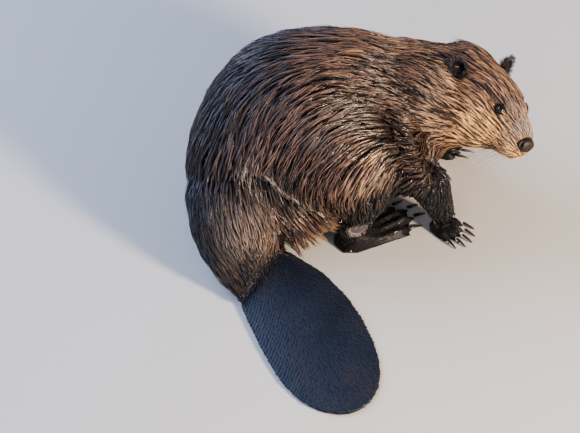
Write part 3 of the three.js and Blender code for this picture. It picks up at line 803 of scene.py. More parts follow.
# beaver guard hair, wet: keratin (IOR) under a film of water (coat), dark with bright glints
coatHair, tree, shader = newMaterial("wetGuardHair")
wetness = addNode(tree, "Attribute", {"attribute_name": "wet"}, out="Fac")
gloss = addNode(tree, "MapRange", {}, {"Value": wetness, "To Min": 0.43, "To Max": 0.22})
limb = addNode(tree, "Attribute", {"attribute_name": "limb"}, out="Fac")
gloss = addNode(tree, "Math", {"operation": "MULTIPLY_ADD"}, {0: limb, 1: -0.22, 2: gloss})
plug(tree, shader, {"Base Color": coatColour(tree, True), "Roughness": gloss, "IOR": 1.55,
                    "Specular IOR Level": 0.8, "Coat Weight": 0.12, "Coat Roughness": 0.3, "Coat IOR": 1.33})

# bare skin and underfur: matt, finely wrinkled, darker than the hair over it: the underfur's own dark and
# painted shade between the locks
hide, tree, shader = newMaterial("hideAndUnderfur")
place = addNode(tree, "TexCoord", out="Object")
pebble = addNode(tree, "TexVoronoi", {"feature": "DISTANCE_TO_EDGE"},
                 {"Vector": place, "Scale": 520.0})  # cells of some 2 mm
bareMark = addNode(tree, "Attribute", {"attribute_name": "bare"}, out="Fac")
hideColour = addNode(tree, "Mix", {"data_type": "RGBA"},
                     {"Factor": bareMark, 6: coatColour(tree, False), 7: linear("#20242c")}, 2)
# the heel's bare wet patch, mauve-grey inside a ragged pale rim; the mauve-grey is a painted sky reflection
# on the wet skin
stretched = addNode(tree, "VectorMath", {"operation": "MULTIPLY"}, {0: place, 1: heelPatch["stretch"]})
heelMiddle = tuple(np.array(heelPatch["at"]) * heelPatch["stretch"])
fromHeel = addNode(tree, "VectorMath", {"operation": "DISTANCE"}, {0: stretched, 1: heelMiddle}, "Value")
ragged = addNode(tree, "TexNoise", {}, {"Vector": place, "Scale": 480.0, "Detail": 2.0})
heelEdge = addNode(tree, "Math", {"operation": "MULTIPLY_ADD"}, {0: ragged, 1: 0.004, 2: fromHeel})
for colour, outer, inner in (("#b9a891", 0.0146, 0.0140), ("#564e5a", 0.0132, 0.0125)):
    within = addNode(tree, "MapRange", {}, {"Value": heelEdge, "From Min": outer, "From Max": inner})
    hideColour = addNode(tree, "Mix", {"data_type": "RGBA"},
                         {"Factor": within, 6: hideColour, 7: linear(colour)}, 2)
limb = addNode(tree, "Attribute", {"attribute_name": "limb"}, out="Fac")
film = addNode(tree, "MapRange", {}, {"Value": limb, "To Min": 0.5, "To Max": 0.45})  # water on the bare feet
dent = addNode(tree, "Bump", {}, {"Strength": 0.35, "Distance": 0.0005, "Height": pebble})
plug(tree, shader, {"Base Color": hideColour, "Roughness": film, "Specular IOR Level": 0.16, "Normal": dent})
skin.data.materials.append(hide)
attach(skin, "root")
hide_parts(*fleshNames)

# coat: closed three-sided locks, each one's foot on the skin, drawn together in wet points
mesh.calc_loop_triangles()
triangles = readAll(mesh.loop_triangles, "vertices", 3, int)
triLoops = readAll(mesh.loop_triangles, "loops", 3, int)
uvs = readAll(mesh.uv_layers["OFBake"].data, "uv", 2)
corner = points[triangles]
faceCross = np.cross(corner[:, 1] - corner[:, 0], corner[:, 2] - corner[:, 0])
faceNormal = unit(faceCross)
triArea = 0.5 * np.linalg.norm(faceCross, axis=1)
triMid = corner.mean(1)
triKind = ownerKind[triangles[:, 0]]
skinTree = BVHTree.FromPolygons([Vector(p) for p in points], triangles.tolist())
faceComb = unit(comb[triangles].mean(1))
triDepth = spread(partDepth[owner], edges, 18)[triangles].mean(1)

# lengths and widths in mm, locks per square cm, how many share a strand, how firmly they draw together, and
# how high a strand's middle stands over its edges in mm
coatPlan = {}
for name, *values in (
        ("coat_back", 68, 1.5, 13.0, 9, 0.92, 1.5, "back_coat"),
        ("coat_flank", 56, 1.5, 14.5, 8, 0.96, 2.0, "flank_coat"),
        ("coat_thigh", 48, 1.4, 15.5, 8, 0.96, 2.0, "flank_coat"),
        ("coat_belly", 36, 2.0, 6.0, 9, 0.9, 1.5, "flank_coat"),
        ("coat_neck", 42, 1.25, 20.5, 8, 0.88, 0.9, "neck_coat"),
        ("coat_head", 21, 1.0, 42.0, 7, 0.93, 0.8, "face_coat"),
        ("coat_tail", 32, 0.95, 25.0, 5, 0.3, 0.15, "back_coat"),
        ("coat_limbs", 14, 1.2, 16.0, 8, 0.8, 0.4, "limb_coat")):
    coatPlan[name] = dict(zip(("length", "width", "dense", "share", "draw", "ridge", "slot"), values))


def regionOf(where, kind):
    found = np.full(len(where), "none", dtype="<U12")
    trunk = kind == "trunk"
    found[trunk] = "coat_flank"
    found[trunk & ((where[:, 2] > 0.205) | (where[:, 0] < -0.145))] = "coat_back"
    found[trunk & (where[:, 2] < 0.045)] = "coat_belly"
    found[kind == "thigh"] = "coat_thigh"
    found[np.isin(kind, ["upper_arm", "neck"])] = "coat_neck"
    found[np.isin(kind, ["head", "jaw"])] = "coat_head"
    found[kind == "tail_base"] = "coat_tail"
    found[np.isin(kind, ["hind_foot", "forepaw", "forearm", "shank"])] = "coat_limbs"
    return found


def mixIn(columns, values, much):
    # brings some of the coat's measures towards other values, where there is much of it
    measures[:, columns] = measures[:, columns] * (1 - much) + values * much


# the coat's measures at every point of the skin, evened out so that no seam shows between regions
pointRegion = regionOf(points, ownerKind)
measures = np.full((len(points), 4), (20, 1.1, 16, 0.3))
for coatName, plan in coatPlan.items():
    measures[pointRegion == coatName] = [plan[key] for key in ("length", "width", "dense", "ridge")]
measures[np.isin(ownerKind, ["hind_foot", "forepaw"]), :2] = (5, 0.9)
measures = spread(measures, edges, 50)
# short at the paddle's edge and on the dark limbs, long in the tufts inside the leg
toPaddle = -beyondFur(points)
onTail = ownerKind == "tail_base"
measures[:, 0] *= np.where(onTail, 0.26 + 0.74 * ease(0.0, 0.06, toPaddle), 1)
measures[:, 1] *= np.where(onTail, 0.75 + 0.25 * ease(0.0, 0.05, toPaddle), 1)
mixIn(0, np.minimum(measures[:, 0], 13), limbDark)
tuft = nearness(points, (-0.075, 0.015, 0.055), 0.018)
mixIn(0, 56, tuft)
mixIn(2, 26, tuft)
# close-set short hairs round the heel's bare patch, short and narrow ones on the face
atRim = bump(heelAway - heelPatch["reach"], 0.0018, 0.0025)[:, None]
mixIn(slice(3), np.array((6.0, 0.9, 50.0)), atRim)
noseNear = np.linalg.norm(inHead(points) - (121, 0, -38), axis=1)
onHead = pointRegion == "coat_head"
shorter = (0.42 + 0.58 * ease(15, 80, noseNear)) * (0.6 + 0.4 * ease(7, 20, eyeNear))
measures[:, 0] *= np.where(onHead, shorter, 1)
measures[:, 1] *= np.where(onHead, 0.72 + 0.28 * ease(20, 80, noseNear), 1)
measures[:, 2] *= np.where(onHead, 0.62 + 0.62 * ease(75, 25, noseNear), 1)

# no hair on the lids, nose pad, mouth's line, soles, the scaled end of the tail's root, the heel's bare patch
# or in the crease
region = regionOf(triMid, triKind)
triHead = inHead(triMid)
underPad = np.linalg.norm((triHead - (120, 0, -38)) / (10.2, 14.4, 10.6), axis=1) < 1
inMouth = (np.abs(overMouth(triHead)) < 1.4) & (triHead[:, 0] > mouthPlan["from"])
ofHead = region == "coat_head"
region[ofHead & ((eyeNear[triangles].mean(1) < 9.3) | underPad | inMouth)] = "none"
region[np.isin(triKind, ["hind_foot", "forepaw"]) & (faceNormal[:, 2] < 0.1)] = "none"
region[(triMid[:, 2] < 0.004) | ((triKind == "tail_base") & (beyondFur(triMid) > 0.002))] = "none"
heelGap = heelAway[triangles].mean(1)
region[heelGap < heelPatch["reach"]] = "none"
low = onRight(triMid)
creaseAside, creaseNear, creaseEnds, _ = besideLine(low, "crease")
region[(creaseNear < 0.0030) & (creaseEnds > 0.5)] = "none"

# how far it is from each root to an edge that its lock may only just pass, where there is one ahead
farOff = 9.0  # no edge ahead
ofBody = np.isin(triKind, ["trunk", "thigh", "neck", "upper_arm"])
hemAside, hemNear, hemEnds, _ = besideLine(triMid, "hem")
byHem = (hemAside < 0) & (hemNear < 0.07) & (hemEnds > 0.5) & (triKind != "tail_base")
aboveHem = np.where(byHem, hemNear, farOff)
byKnee = (low[:, 0] > -0.035) & (low[:, 0] < 0.052) & (low[:, 1] < 0.10) & (low[:, 2] > 0.099)
aboveKnee = np.where(byKnee & ofBody, low[:, 2] - 0.099, farOff)
armGap = aboveDarkArm[triangles].mean(1)
byArm = (low[:, 0] > 0.040) & (low[:, 1] < 0.11) & (armGap > 0.008)
aboveArm = np.where(byArm & ofBody, armGap - 0.010, farOff)
byHeel = (heelGap < 0.03) & (triMid[:, 2] > heelPatch["at"][2])
aboveHeel = np.where(byHeel, heelGap - heelPatch["reach"] - 0.008, farOff)
lowComb = faceComb * np.where(triMid[:, 1] > bodyMiddle, -1, 1)[:, None] ** np.array([0, 1, 0])
ahead = laid["crease"][None] - low[:, None]
onward = (ahead * lowComb[:, None]).sum(2)
beside = np.sqrt(np.maximum((ahead ** 2).sum(2) - onward ** 2, 0))
aboveCrease = np.where((onward > 0) & (beside < 0.4 * onward + 0.004), onward, farOff).min(1)
aboveCrease = np.where((creaseAside < 0) & ofBody, aboveCrease + 0.004, farOff)

stages = np.array([0, 0.16, 0.4, 0.68, 1.0])  # how far along a lock its rings and its tip are
swell = np.array([0.75, 1.0, 0.92, 0.62])
height = np.array([-0.04, 0.62, 0.86, 0.98, 1.0])
bell = np.array([0, 0.55, 1.0, 0.9, 0.45])
rings = len(swell)
slender = 0.27  # a strand's gathering ground is this much narrower than it is long
rng = np.random.default_rng(46)
mostPerPiece = 190000  # triangles
allRoots = 0
coatTriangles = 0


def followSkin(start, startFace, length, sway, curl):
    # walks over the skin along the lie of the coat
    path = np.empty((len(start), rings + 1, 3))
    up = np.empty_like(path)
    for i in range(len(start)):
        at = start[i]
        face = startFace[i]
        path[i, 0] = at
        up[i, 0] = faceNormal[face]
        for k in range(1, rings + 1):
            lean = sway[i] + curl[i] * stages[k]
            way = faceComb[face] + np.cross(faceNormal[face], faceComb[face]) * lean
            found = skinTree.find_nearest(at + way * (length[i] * (stages[k] - stages[k - 1])))
            at = np.array(found[0])
            face = found[2]
            path[i, k] = at
            up[i, k] = faceNormal[face]
    return path, up


def acrossPath(up, path):
    return unit(np.cross(up, unit(np.gradient(path, axis=1))))


def alongPath(values, mine, share):
    # where each lock's rings fall on its leader's path, shorter locks stopping before its end
    t = stages[None] * share[:, None]
    k = np.clip(np.searchsorted(stages, t, side="right") - 1, 0, rings - 1)
    mix = ((t - stages[k]) / (stages[k + 1] - stages[k]))[:, :, None]
    return values[mine[:, None], k] * (1 - mix) + values[mine[:, None], k + 1] * mix


def jointMesh(name, bodies, faces, uv, bodyMarks, material):
    # many small closed bodies of one build as one piece; a mark has a value for each body, or for each of the
    # points of one
    count, each = bodies.shape[:2]
    index = (np.array(faces)[None] + (np.arange(count) * each)[:, None, None]).reshape(-1, 3)
    made = bpy.data.meshes.new(name)
    made.vertices.add(count * each)
    made.vertices.foreach_set("co", bodies.astype(np.float32).ravel())
    made.loops.add(len(index) * 3)
    made.loops.foreach_set("vertex_index", index.astype(np.int32).ravel())
    made.polygons.add(len(index))
    made.polygons.foreach_set("loop_start", np.arange(0, len(index) * 3, 3, dtype=np.int32))
    made.update(calc_edges=True)
    made.polygons.foreach_set("use_smooth", np.ones(len(index), bool))
    layer = made.uv_layers.new(name="OFBake")
    layer.data.foreach_set("uv", np.clip(uv.reshape(-1, 2)[index.ravel()], 0, 1).astype(np.float32).ravel())
    for mark, values in bodyMarks.items():
        writeMark(made, mark, np.broadcast_to(values, (count, each)).ravel())
    made.materials.append(material)
    piece = bpy.data.objects.new(name, made)
    bpy.context.scene.collection.objects.link(piece)
    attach(piece, "root")
    return len(index)


def buildLocks(name, slot, path, up, across, width, rise, uvRoot, marksHere, tone):
    # each lock: rings of three points, flat side down, closed at its foot and drawn to a tip
    centre = path[:, :rings] + up[:, :rings] * rise[:, :rings, None]
    half = across[:, :rings] * (0.5 * width[:, None] * swell)[:, :, None]
    crest = up[:, :rings] * (0.36 * width[:, None] * swell)[:, :, None]
    ringPoints = np.stack([centre - half, centre + half, centre + crest], 2).reshape(len(path), rings * 3, 3)
    tip = (path[:, rings] + up[:, rings] * rise[:, rings, None])[:, None, :]
    locks = np.concatenate([ringPoints, tip], 1)
    locks[..., 2] = np.maximum(locks[..., 2], 0.3 * mm)
    faces = [(0, 2, 1)]
    for r in range(rings - 1):
        for a, b in ((0, 1), (1, 2), (2, 0)):
            p, q = r * 3 + a, r * 3 + b
            faces += [(p, q, q + 3), (p, q + 3, p + 3)]
    last, tipAt = (rings - 1) * 3, rings * 3
    faces += [(last, last + 1, tipAt), (last + 1, last + 2, tipAt), (last + 2, last, tipAt)]
    alongLock = np.concatenate([np.repeat(stages[:rings], 3), [1.0]])
    sideLock = np.concatenate([np.tile([-1.0, 1.0, 0.0], rings), [0.0]])
    uv = uvRoot[:, None] + np.stack([sideLock, alongLock * 2 - 1], 1) * 0.0015
    lockMarks = {"along": alongLock, "tone": tone[:, None]}
    lockMarks.update(zip(("warmth", "light", "wet", "limb", "pale"), marksHere.T[:, :, None]))
    return jointMesh(name, locks, faces, uv, lockMarks, coatHair)


def sowRoots(chosen):
    # roots spread over the chosen triangles by how dense the coat is there, and their shares of the corners
    perTriangle = triArea[chosen] * measures[triangles, 2].mean(1)[chosen]
    count = int(perTriangle.sum() * 10000)
    weight = np.cumsum(perTriangle)
    pick = chosen[np.searchsorted(weight, rng.random(count) * weight[-1]).clip(0, len(chosen) - 1)]
    a, b = rng.random(count), rng.random(count)
    flip = a + b > 1
    a, b = np.where(flip, 1 - a, a), np.where(flip, 1 - b, b)
    return count, pick, np.stack([1 - a - b, a, b], 1)[:, :, None]


def findLeaders(root, lie, leadPath):
    # the leader whose strand each root lies on, and how far along the lie the root is from it
    nearest = KDTree(len(leadPath))
    for i, at in enumerate(leadPath[:, 0]):
        nearest.insert(at, i)
    nearest.balance()
    around = np.array([[hit[1] for hit in nearest.find_n(at, min(9, len(leadPath)))] for at in root])
    away = root[:, None] - leadPath[around, 0]
    lengthwise = (away * lie[:, None]).sum(2)
    crosswise = np.linalg.norm(away - lengthwise[:, :, None] * lie[:, None], axis=2)
    best = np.hypot(crosswise, slender * lengthwise).argmin(1)
    rows = np.arange(len(root))
    return around[rows, best], lengthwise[rows, best]


vertexMarks = np.column_stack([marks, limbDark, pale])
for coatName, plan in coatPlan.items():
    count, pick, shares = sowRoots(np.nonzero(region == coatName)[0])
    root = (points[triangles[pick]] * shares).sum(1)
    rootUv = (uvs[triLoops[pick]] * shares).sum(1)
    rootMarks = (vertexMarks[triangles[pick]] * shares).sum(1)
    rootUp = unit((normals[triangles[pick]] * shares).sum(1))
    rootMeasures = (measures[triangles[pick]] * shares).sum(1)
    rootDepth = triDepth[pick][:, None]
    # one lock in a few leads, and the rest draw to the leader whose strand they lie on
    leads = np.arange(0, count, plan["share"])
    length = rootMeasures[:, 0] * rng.uniform(0.72, 1.2, count) * mm
    for above in (aboveHem, aboveKnee, aboveArm, aboveCrease, aboveHeel):
        length = np.minimum(length, np.maximum(above[pick] + rng.uniform(0.006, 0.014, count), 0.004))
    width = rootMeasures[:, 1] * rng.uniform(0.7, 1.25, count) * mm
    leadPath, leadUp = followSkin(root[leads], pick[leads], length[leads],
                                  rng.normal(0, 0.08, len(leads)), rng.normal(0, 0.16, len(leads)))
    mine, lengthwise = findLeaders(root, faceComb[pick], leadPath)
    lengthShift = lengthwise[:, None] * faceComb[pick]
    crossShift = root - leadPath[mine, 0] - lengthShift
    draw = (plan["draw"] * rng.uniform(0.85, 1.06, count)).clip(0, 0.98)
    hold = 1 - draw[:, None] * (1 - (1 - stages[None]) ** 1.6)
    # how much of its leader's path a lock takes follows from its own length
    reach = np.clip(rng.uniform(0.72, 1.0, count) * length / length[leads][mine], 0.15, 1.0)
    path = alongPath(leadPath, mine, reach) + crossShift[:, None] * hold[:, :, None] + lengthShift[:, None]
    up = alongPath(leadUp, mine, reach)
    up[:, 0] = rootUp
    # height over the skin: the foot just inside it, the rest within the coat's depth
    layer = rng.uniform(0.35, 0.95, len(leads))[mine] + rng.uniform(-0.08, 0.05, count)
    halfStrand = math.sqrt(plan["share"] / plan["dense"] * slender / math.pi) / 100
    off = np.clip(np.linalg.norm(crossShift, axis=1) / halfStrand, 0, 1)
    rise = layer[:, None] * rootDepth * 0.86 * height[None]
    rise = rise + rootMeasures[:, 3:] * mm * (1 - off[:, None] ** 2) * bell[None]
    rise = np.minimum(rise, rootDepth * 0.97)
    rise[:, -1] *= rng.uniform(0.75, 1.0, count)
    up = unit(up)
    leanOut = unit(up + 0.9 * (off[:, None] * unit(crossShift))[:, None, :] * bell[None, :, None])
    across = acrossPath(leanOut, path)
    # a lock's tone is partly random and partly a painted highlight along its strand's ridge
    tone = rng.random(len(leads))[mine] * 0.42 + rng.random(count) * 0.20 + (1 - off) * 0.38
    # painted light: a strand's ridge is made lighter as a painted highlight, and its margins darker as
    # painted shade from the next
    rootMarks[:, 1] *= 0.48 + 1.30 * (1 - off)
    # the pieces are split across the body
    order = np.argsort(root @ np.array([0.25, 1.0, 0.1]))
    pieces = int(math.ceil(count * (rings * 6 - 2) / mostPerPiece))
    for number, part in enumerate(np.array_split(order, pieces)):
        label = coatName if pieces == 1 else f"{coatName}_{number + 1}"
        each = [values[part] for values in (path, up, across, width, rise, rootUv, rootMarks, tone)]
        coatTriangles += buildLocks(label, plan["slot"], *each)
    allRoots += count
    print(coatName, count, "locks in", pieces)

# wet tufts that stand off the body inside the leg, fanned out over the tail's root
tuftPlan = {
    "feet": ((-0.098, 0.012, 0.046), (-0.056, 0.014, 0.070)),
    "tips": ((-0.079, 0.000, 0.012), (-0.027, 0.010, 0.060)),
    "tufts": 17, "locks": 34, "width": 1.2, "apart": 5.5, "marks": (0.50, 0.88, 0.8, 0.0, 0.0),
}
many = tuftPlan["tufts"] * tuftPlan["locks"]
tuftOf = np.arange(many) // tuftPlan["locks"]
fan = (tuftOf / (tuftPlan["tufts"] - 1))[:, None]
(first, last), (low, high) = [np.array(tuftPlan[key]) for key in ("feet", "tips")]
jog = rng.normal(0, 1, (tuftPlan["tufts"], 3))[tuftOf]
stray = (jog * 3 + rng.normal(0, 0.5, (many, 3)) * tuftPlan["apart"]) * mm
feetAt, _, footFace = nearestOn(skinTree, first * (1 - fan) + last * fan + stray)
stray = (jog[:, ::-1] * 3.5 + rng.normal(0, 0.8, (many, 3))) * mm
tips = low * (1 - fan ** 0.9) + high * fan ** 0.9 + stray
bowed = unit(faceNormal[footFace]) * (0.004 + 0.002 * jog[:, :1])
along = stages[None, :, None] * rng.uniform(0.72, 1.0, many)[:, None, None]
path = feetAt[:, None] * (1 - along) + tips[:, None] * along + 4 * along * (1 - along) * bowed[:, None]
path[:, 0] -= faceNormal[footFace] * 0.5 * mm
up = np.repeat(unit(faceNormal[footFace] + (0, -0.3, 0.6))[:, None], rings + 1, 1)
across = acrossPath(up, path)
tuftMarks = np.tile(tuftPlan["marks"], (many, 1))
tuftMarks[:, 1] *= rng.uniform(0.35, 1.25, many)
width = rng.uniform(0.8, 1.2, many) * tuftPlan["width"] * mm
coatTriangles += buildLocks("coat_tufts", "flank_coat", path, up, across, width, np.zeros((many, rings + 1)),
                            uvs[triLoops[footFace]].mean(1), tuftMarks, rng.random(many))

# the hem's wet rim: pale locks drawn together along it, in a wavy edge; their pale colour and light are a
# painted highlight
rimPlan = {"locks": 80, "length": 20, "width": 1.1, "from": 0.30, "to": 0.92, "spread": 1.6, "rise": 9.0,
           "waves": ((1.6, 0.50, 0), (1.0, 1.31, 2)), "marks": (0.55, 1.50, 0.8, 0.0, 0.90)}
many = rimPlan["locks"]
hem = laid["hem"]
hemLong = np.linalg.norm(np.diff(hem, axis=0), axis=1).sum()
place = rng.uniform(rimPlan["from"], rimPlan["to"], many)[:, None]
place = place + stages[None] * rimPlan["length"] * mm / hemLong * rng.uniform(0.6, 1.2, many)[:, None]
place = np.clip(place, 0, 0.999) * (len(hem) - 1)
before = place.astype(int)
path = hem[before] + (hem[before + 1] - hem[before]) * (place - before)[:, :, None]
ruffle = sum(much * np.sin(place * turns + start) for much, turns, start in rimPlan["waves"])[:, :, None] * mm
aside = rng.normal(0.003, rimPlan["spread"] * mm, (many, 1, 1)) + ruffle
path = path + unit(np.array((-0.1, 0.35, 0.93))) * aside
footFace = nearestOn(skinTree, path.reshape(-1, 3))[2].reshape(many, rings + 1)
up = unit(faceNormal[footFace])
across = acrossPath(up, path)
rise = rimPlan["rise"] * mm * rng.uniform(0.5, 1.0, many)[:, None] * height[None]
width = rng.uniform(0.8, 1.2, many) * rimPlan["width"] * mm
coatTriangles += buildLocks("coat_hem_rim", "back_coat", path, up, across, width, rise,
                            uvs[triLoops[footFace[:, 0]]].mean(1), np.tile(rimPlan["marks"], (many, 1)),
                            rng.random(many))
print("coat:", allRoots + len(tuftOf) + many, "locks,", coatTriangles, "triangles")

# eyes: wet cornea (IOR) over a near-black iris
eyeGlass, tree, shader = newMaterial("wetEye")
plug(tree, shader, {"Base Color": linear("#0b0706"), "Roughness": 0.04, "IOR": 1.38, "Coat Weight": 1.0,
                    "Coat Roughness": 0.02})
for side, name in ((-1, "right"), (1, "left")):
    outward, centre = eyeOf(side)
    bpy.ops.mesh.primitive_uv_sphere_add(segments=48, ring_count=32, radius=eyePlan["radius"] * mm,
                                         location=fromHead(*centre))
    ball = bpy.context.object
    ball.name = "eyeball_" + name
    bulge = Vector(outward @ headAxes)
    for v in ball.data.vertices:
        facing = v.co.normalized().dot(bulge)
        if facing > 0.86:
            v.co *= 1 + 0.35 * (facing - 0.86)
    bpy.ops.object.shade_smooth()
    # its place goes into the mesh, as a CAD node's does
    bpy.ops.object.transform_apply(location=True, rotation=True, scale=True)
    ball.data.materials.append(eyeGlass)
    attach(ball, "root")
    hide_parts("eye_" + name)

# tail scales: small horny plates in staggered rows over both faces of the paddle, lapping towards its tip
scalePlan = {
    "line": [(-0.1363, -0.0066), (-0.1103, -0.0386), (-0.0843, -0.0826), (-0.0633, -0.1306),
             (-0.0383, -0.1996), (-0.0113, -0.2766)],
    "rowPitch": 3.6 * mm, "acrossPitch": 4.2 * mm, "long": 4.8 * mm, "wide": 4.0 * mm, "thick": 0.55 * mm,
    "halfWidth": 78 * mm, "bow": 0.315 / 0.074,
    # half a plate's outline, blunt at the root and rounded at the free end
    "outline": [(-0.5, 0.0), (-0.34, 0.46), (0.16, 0.5), (0.46, 0.26), (0.5, 0.0)],
}
horn, tree, shader = newMaterial("wetTailScale")
place = addNode(tree, "TexCoord", out="Object")
cloud = addNode(tree, "TexNoise", {}, {"Vector": place, "Scale": 16.0, "Detail": 3.0})
each = addNode(tree, "Attribute", {"attribute_name": "tone"}, out="Fac")
both = addNode(tree, "Math", {"operation": "MULTIPLY_ADD"}, {0: each, 1: 0.22, 2: cloud})
# the blue in the scales' colour is a painted sky reflection on the dark horn
hornAndSkyTint = addNode(tree, "ValToRGB", {}, {"Fac": both},
               stops=[(0.35, "#0c1524"), (0.55, "#152136"), (0.78, "#2a2a35")])
# keratin (IOR) with a film of water
plug(tree, shader, {"Base Color": hornAndSkyTint, "Roughness": 0.46, "IOR": 1.55, "Specular IOR Level": 0.42})

tailLine = smoothLine([(x, y, 0) for x, y in scalePlan["line"]], 400)
tailWay = unit(np.gradient(tailLine, axis=0))
tailRun = np.concatenate([[0], np.cumsum(np.linalg.norm(np.diff(tailLine, axis=0), axis=1))])


def layPlates(fromAbove):
    # where each plate lies, which way is up there, which way it laps, and the face it is on
    plates = []
    half = int(scalePlan["halfWidth"] / scalePlan["acrossPitch"]) + 1
    for row in range(-8, int(tailRun[-1] / scalePlan["rowPitch"]) + 6):
        run = row * scalePlan["rowPitch"]
        k = np.clip(np.searchsorted(tailRun, run), 1, len(tailRun) - 1)
        way = tailWay[k]
        at = tailLine[k] + way * (run - tailRun[k])
        side = np.array([-way[1], way[0], 0])
        for step in range(-half, half + 1):
            off = (step + 0.5 * (row % 2) + 0.11 * rng.normal()) * scalePlan["acrossPitch"]
            # rows bow back at the edges
            spot = at + side * off - way * (scalePlan["bow"] * off * off + 0.25 * mm * rng.normal())
            start = Vector((spot[0], spot[1], 0.06 if fromAbove else -0.02))
            hit, up, face, _ = skinTree.ray_cast(start, Vector((0, 0, -1 if fromAbove else 1)))
            if hit is None or triKind[face] not in ("tail_base", "tail_paddle"):
                continue
            if beyondFur(np.array(hit)[None])[0] >= -0.004:
                up = np.array(up)
                plates.append((np.array(hit), up, unit(way - up * np.dot(way, up)), face))
    return [np.array(column) for column in zip(*plates)]


def buildPlates(name, at, up, way, face):
    dice = np.random.default_rng(7)
    outline = scalePlan["outline"]
    turn = np.array(outline + [(x, -y) for x, y in outline[-2:0:-1]])
    size = dice.uniform(0.9, 1.08, len(at))[:, None, None]
    lift = (0.10 + 0.42 * (turn[:, 0] + 0.5)) * scalePlan["thick"]
    rim = at[:, None] + way[:, None] * (turn[None, :, :1] * (scalePlan["long"] * size))
    rim = rim + np.cross(up, way)[:, None] * (turn[None, :, 1:] * (scalePlan["wide"] * size))
    lower = rim + up[:, None] * (-0.15 * scalePlan["thick"])
    upper = at[:, None] + (rim - at[:, None]) * 0.86 + up[:, None] * lift[None, :, None]
    crown = at + up * (0.95 * scalePlan["thick"]) + way * (0.08 * scalePlan["long"])
    plates = np.concatenate([lower, upper, crown[:, None]], 1)
    plates[..., 2] = np.maximum(plates[..., 2], 0)
    sides = len(turn)
    faces = [(0, k, k + 1) for k in range(1, sides - 1)]
    for k in range(sides):
        n = (k + 1) % sides
        faces += [(sides + n, n, k), (sides + k, sides + n, k), (2 * sides, sides + n, sides + k)]
    uv = np.repeat(uvs[triLoops[face]].mean(1)[:, None], 2 * sides + 1, 1)
    uv[:, :sides] += turn[None] * 0.003
    uv[:, sides:2 * sides] += turn[None] * 0.0024
    jointMesh(name, plates, faces, uv, {"tone": dice.random(len(at))[:, None]}, horn)
    print(name, len(at), "plates")


buildPlates("tail_scales_top", *layPlates(True))
buildPlates("tail_scales_under", *layPlates(False))

# ears: small thick-rimmed cups of dark skin, short dark hairs over the back and the rim
earPlan = {
    "right": {"at": (3, 48, 17), "face": (0.80, 0.55, 0.25), "lean": (-0.30, 0.42, 0.86),
              "tall": 14.0, "wide": 10.8},
    "left": {"at": (0, 47, 12), "face": (0.92, 0.32, 0.12), "lean": (-0.30, 0.75, 0.50),
             "tall": 11.5, "wide": 11.5},
    "thick": 4.4, "hollow": 8.5,
    "fuzz": {"count": 1000, "length": 8.0, "width": 0.6, "marks": (0.10, 0.55, 0.2, 0.4, 0.04)},
}
earSkin, tree, shader = newMaterial("earSkin")
shade, grain = mottled(tree, 260.0, 4.0, [(0.3, "#0b0a0e"), (0.7, "#1a181d")])
crinkle = addNode(tree, "Bump", {}, {"Strength": 0.3, "Distance": 0.0006, "Height": grain})
plug(tree, shader, {"Base Color": shade, "Roughness": 0.62, "Specular IOR Level": 0.25, "Normal": crinkle})
for side, name in ((-1, "right"), (1, "left")):
    own = earPlan[name]
    facing = unit(mirrored(own["face"], side)) @ headAxes
    tall = mirrored(own["lean"], side) @ headAxes
    tall = unit(tall - facing * np.dot(tall, facing))
    wide = np.cross(tall, facing)
    centre = fromHead(*mirrored(own["at"], side))
    bpy.ops.mesh.primitive_uv_sphere_add(segments=48, ring_count=28, radius=1)
    ear = bpy.context.object
    ear.name = "ear_cup_" + name
    x, y, z = readPoints(ear.data).T
    rho = np.hypot(y, z)
    # no two rims are round
    angle = np.arctan2(z, y)
    wave = 1 + 0.05 * np.sin(3 * angle + 1) + 0.035 * np.sin(5 * angle + side)
    # the front is pressed in to a cup, deepest low down, and the rim folds forward
    cup = earPlan["hollow"] * (1 - np.clip(rho / 0.84, 0, 1) ** 2.2) * (x > 0)
    thin = x * earPlan["thick"] * (0.75 + 0.25 * (z < 0)) - cup + 2.2 * rho ** 3
    thin -= np.where(x < 0, 2.6 * (1 - rho ** 2), 0)
    body = thin[:, None] * facing + (y * wave * own["wide"] * (1 - 0.12 * z))[:, None] * wide
    body = body + (z * wave * own["tall"])[:, None] * tall
    writePoints(ear.data, centre + body * mm)
    editAll(ear, bpy.ops.mesh.normals_make_consistent, inside=False)
    bpy.ops.object.shade_smooth()
    ear.data.materials.append(earSkin)
    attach(ear, "root")
    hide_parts("ear_" + name)
    fuzz = earPlan["fuzz"]
    count = fuzz["count"]
    roots = rng.choice(np.nonzero((x < 0.1) | (rho > 0.74))[0], count)
    earUp = readNormals(ear.data)[roots]
    fromMiddle = unit(y[roots, None] * wide + z[roots, None] * tall)
    grow = unit(earUp * 0.35 + tall * 0.6 + fromMiddle * 0.5 + rng.normal(0, 0.16, (count, 3)))
    long = fuzz["length"] * mm * rng.uniform(0.6, 1.2, count)
    path = readPoints(ear.data)[roots, None] + grow[:, None] * (stages[None, :, None] * long[:, None, None])
    path -= earUp[:, None] * (0.25 * mm)
    rootUv = uvs[triLoops[np.linalg.norm(triMid - centre, axis=1).argmin()]].mean(0)
    up = np.repeat(earUp[:, None], rings + 1, 1)
    buildLocks("ear_fuzz_" + name, "ear_skin", path, up, unit(np.cross(up, grow[:, None])),
               np.full(count, fuzz["width"] * mm), np.zeros((count, rings + 1)), np.tile(rootUv, (count, 1)),
               np.tile(fuzz["marks"], (count, 1)), rng.random(count))
print("ears made")

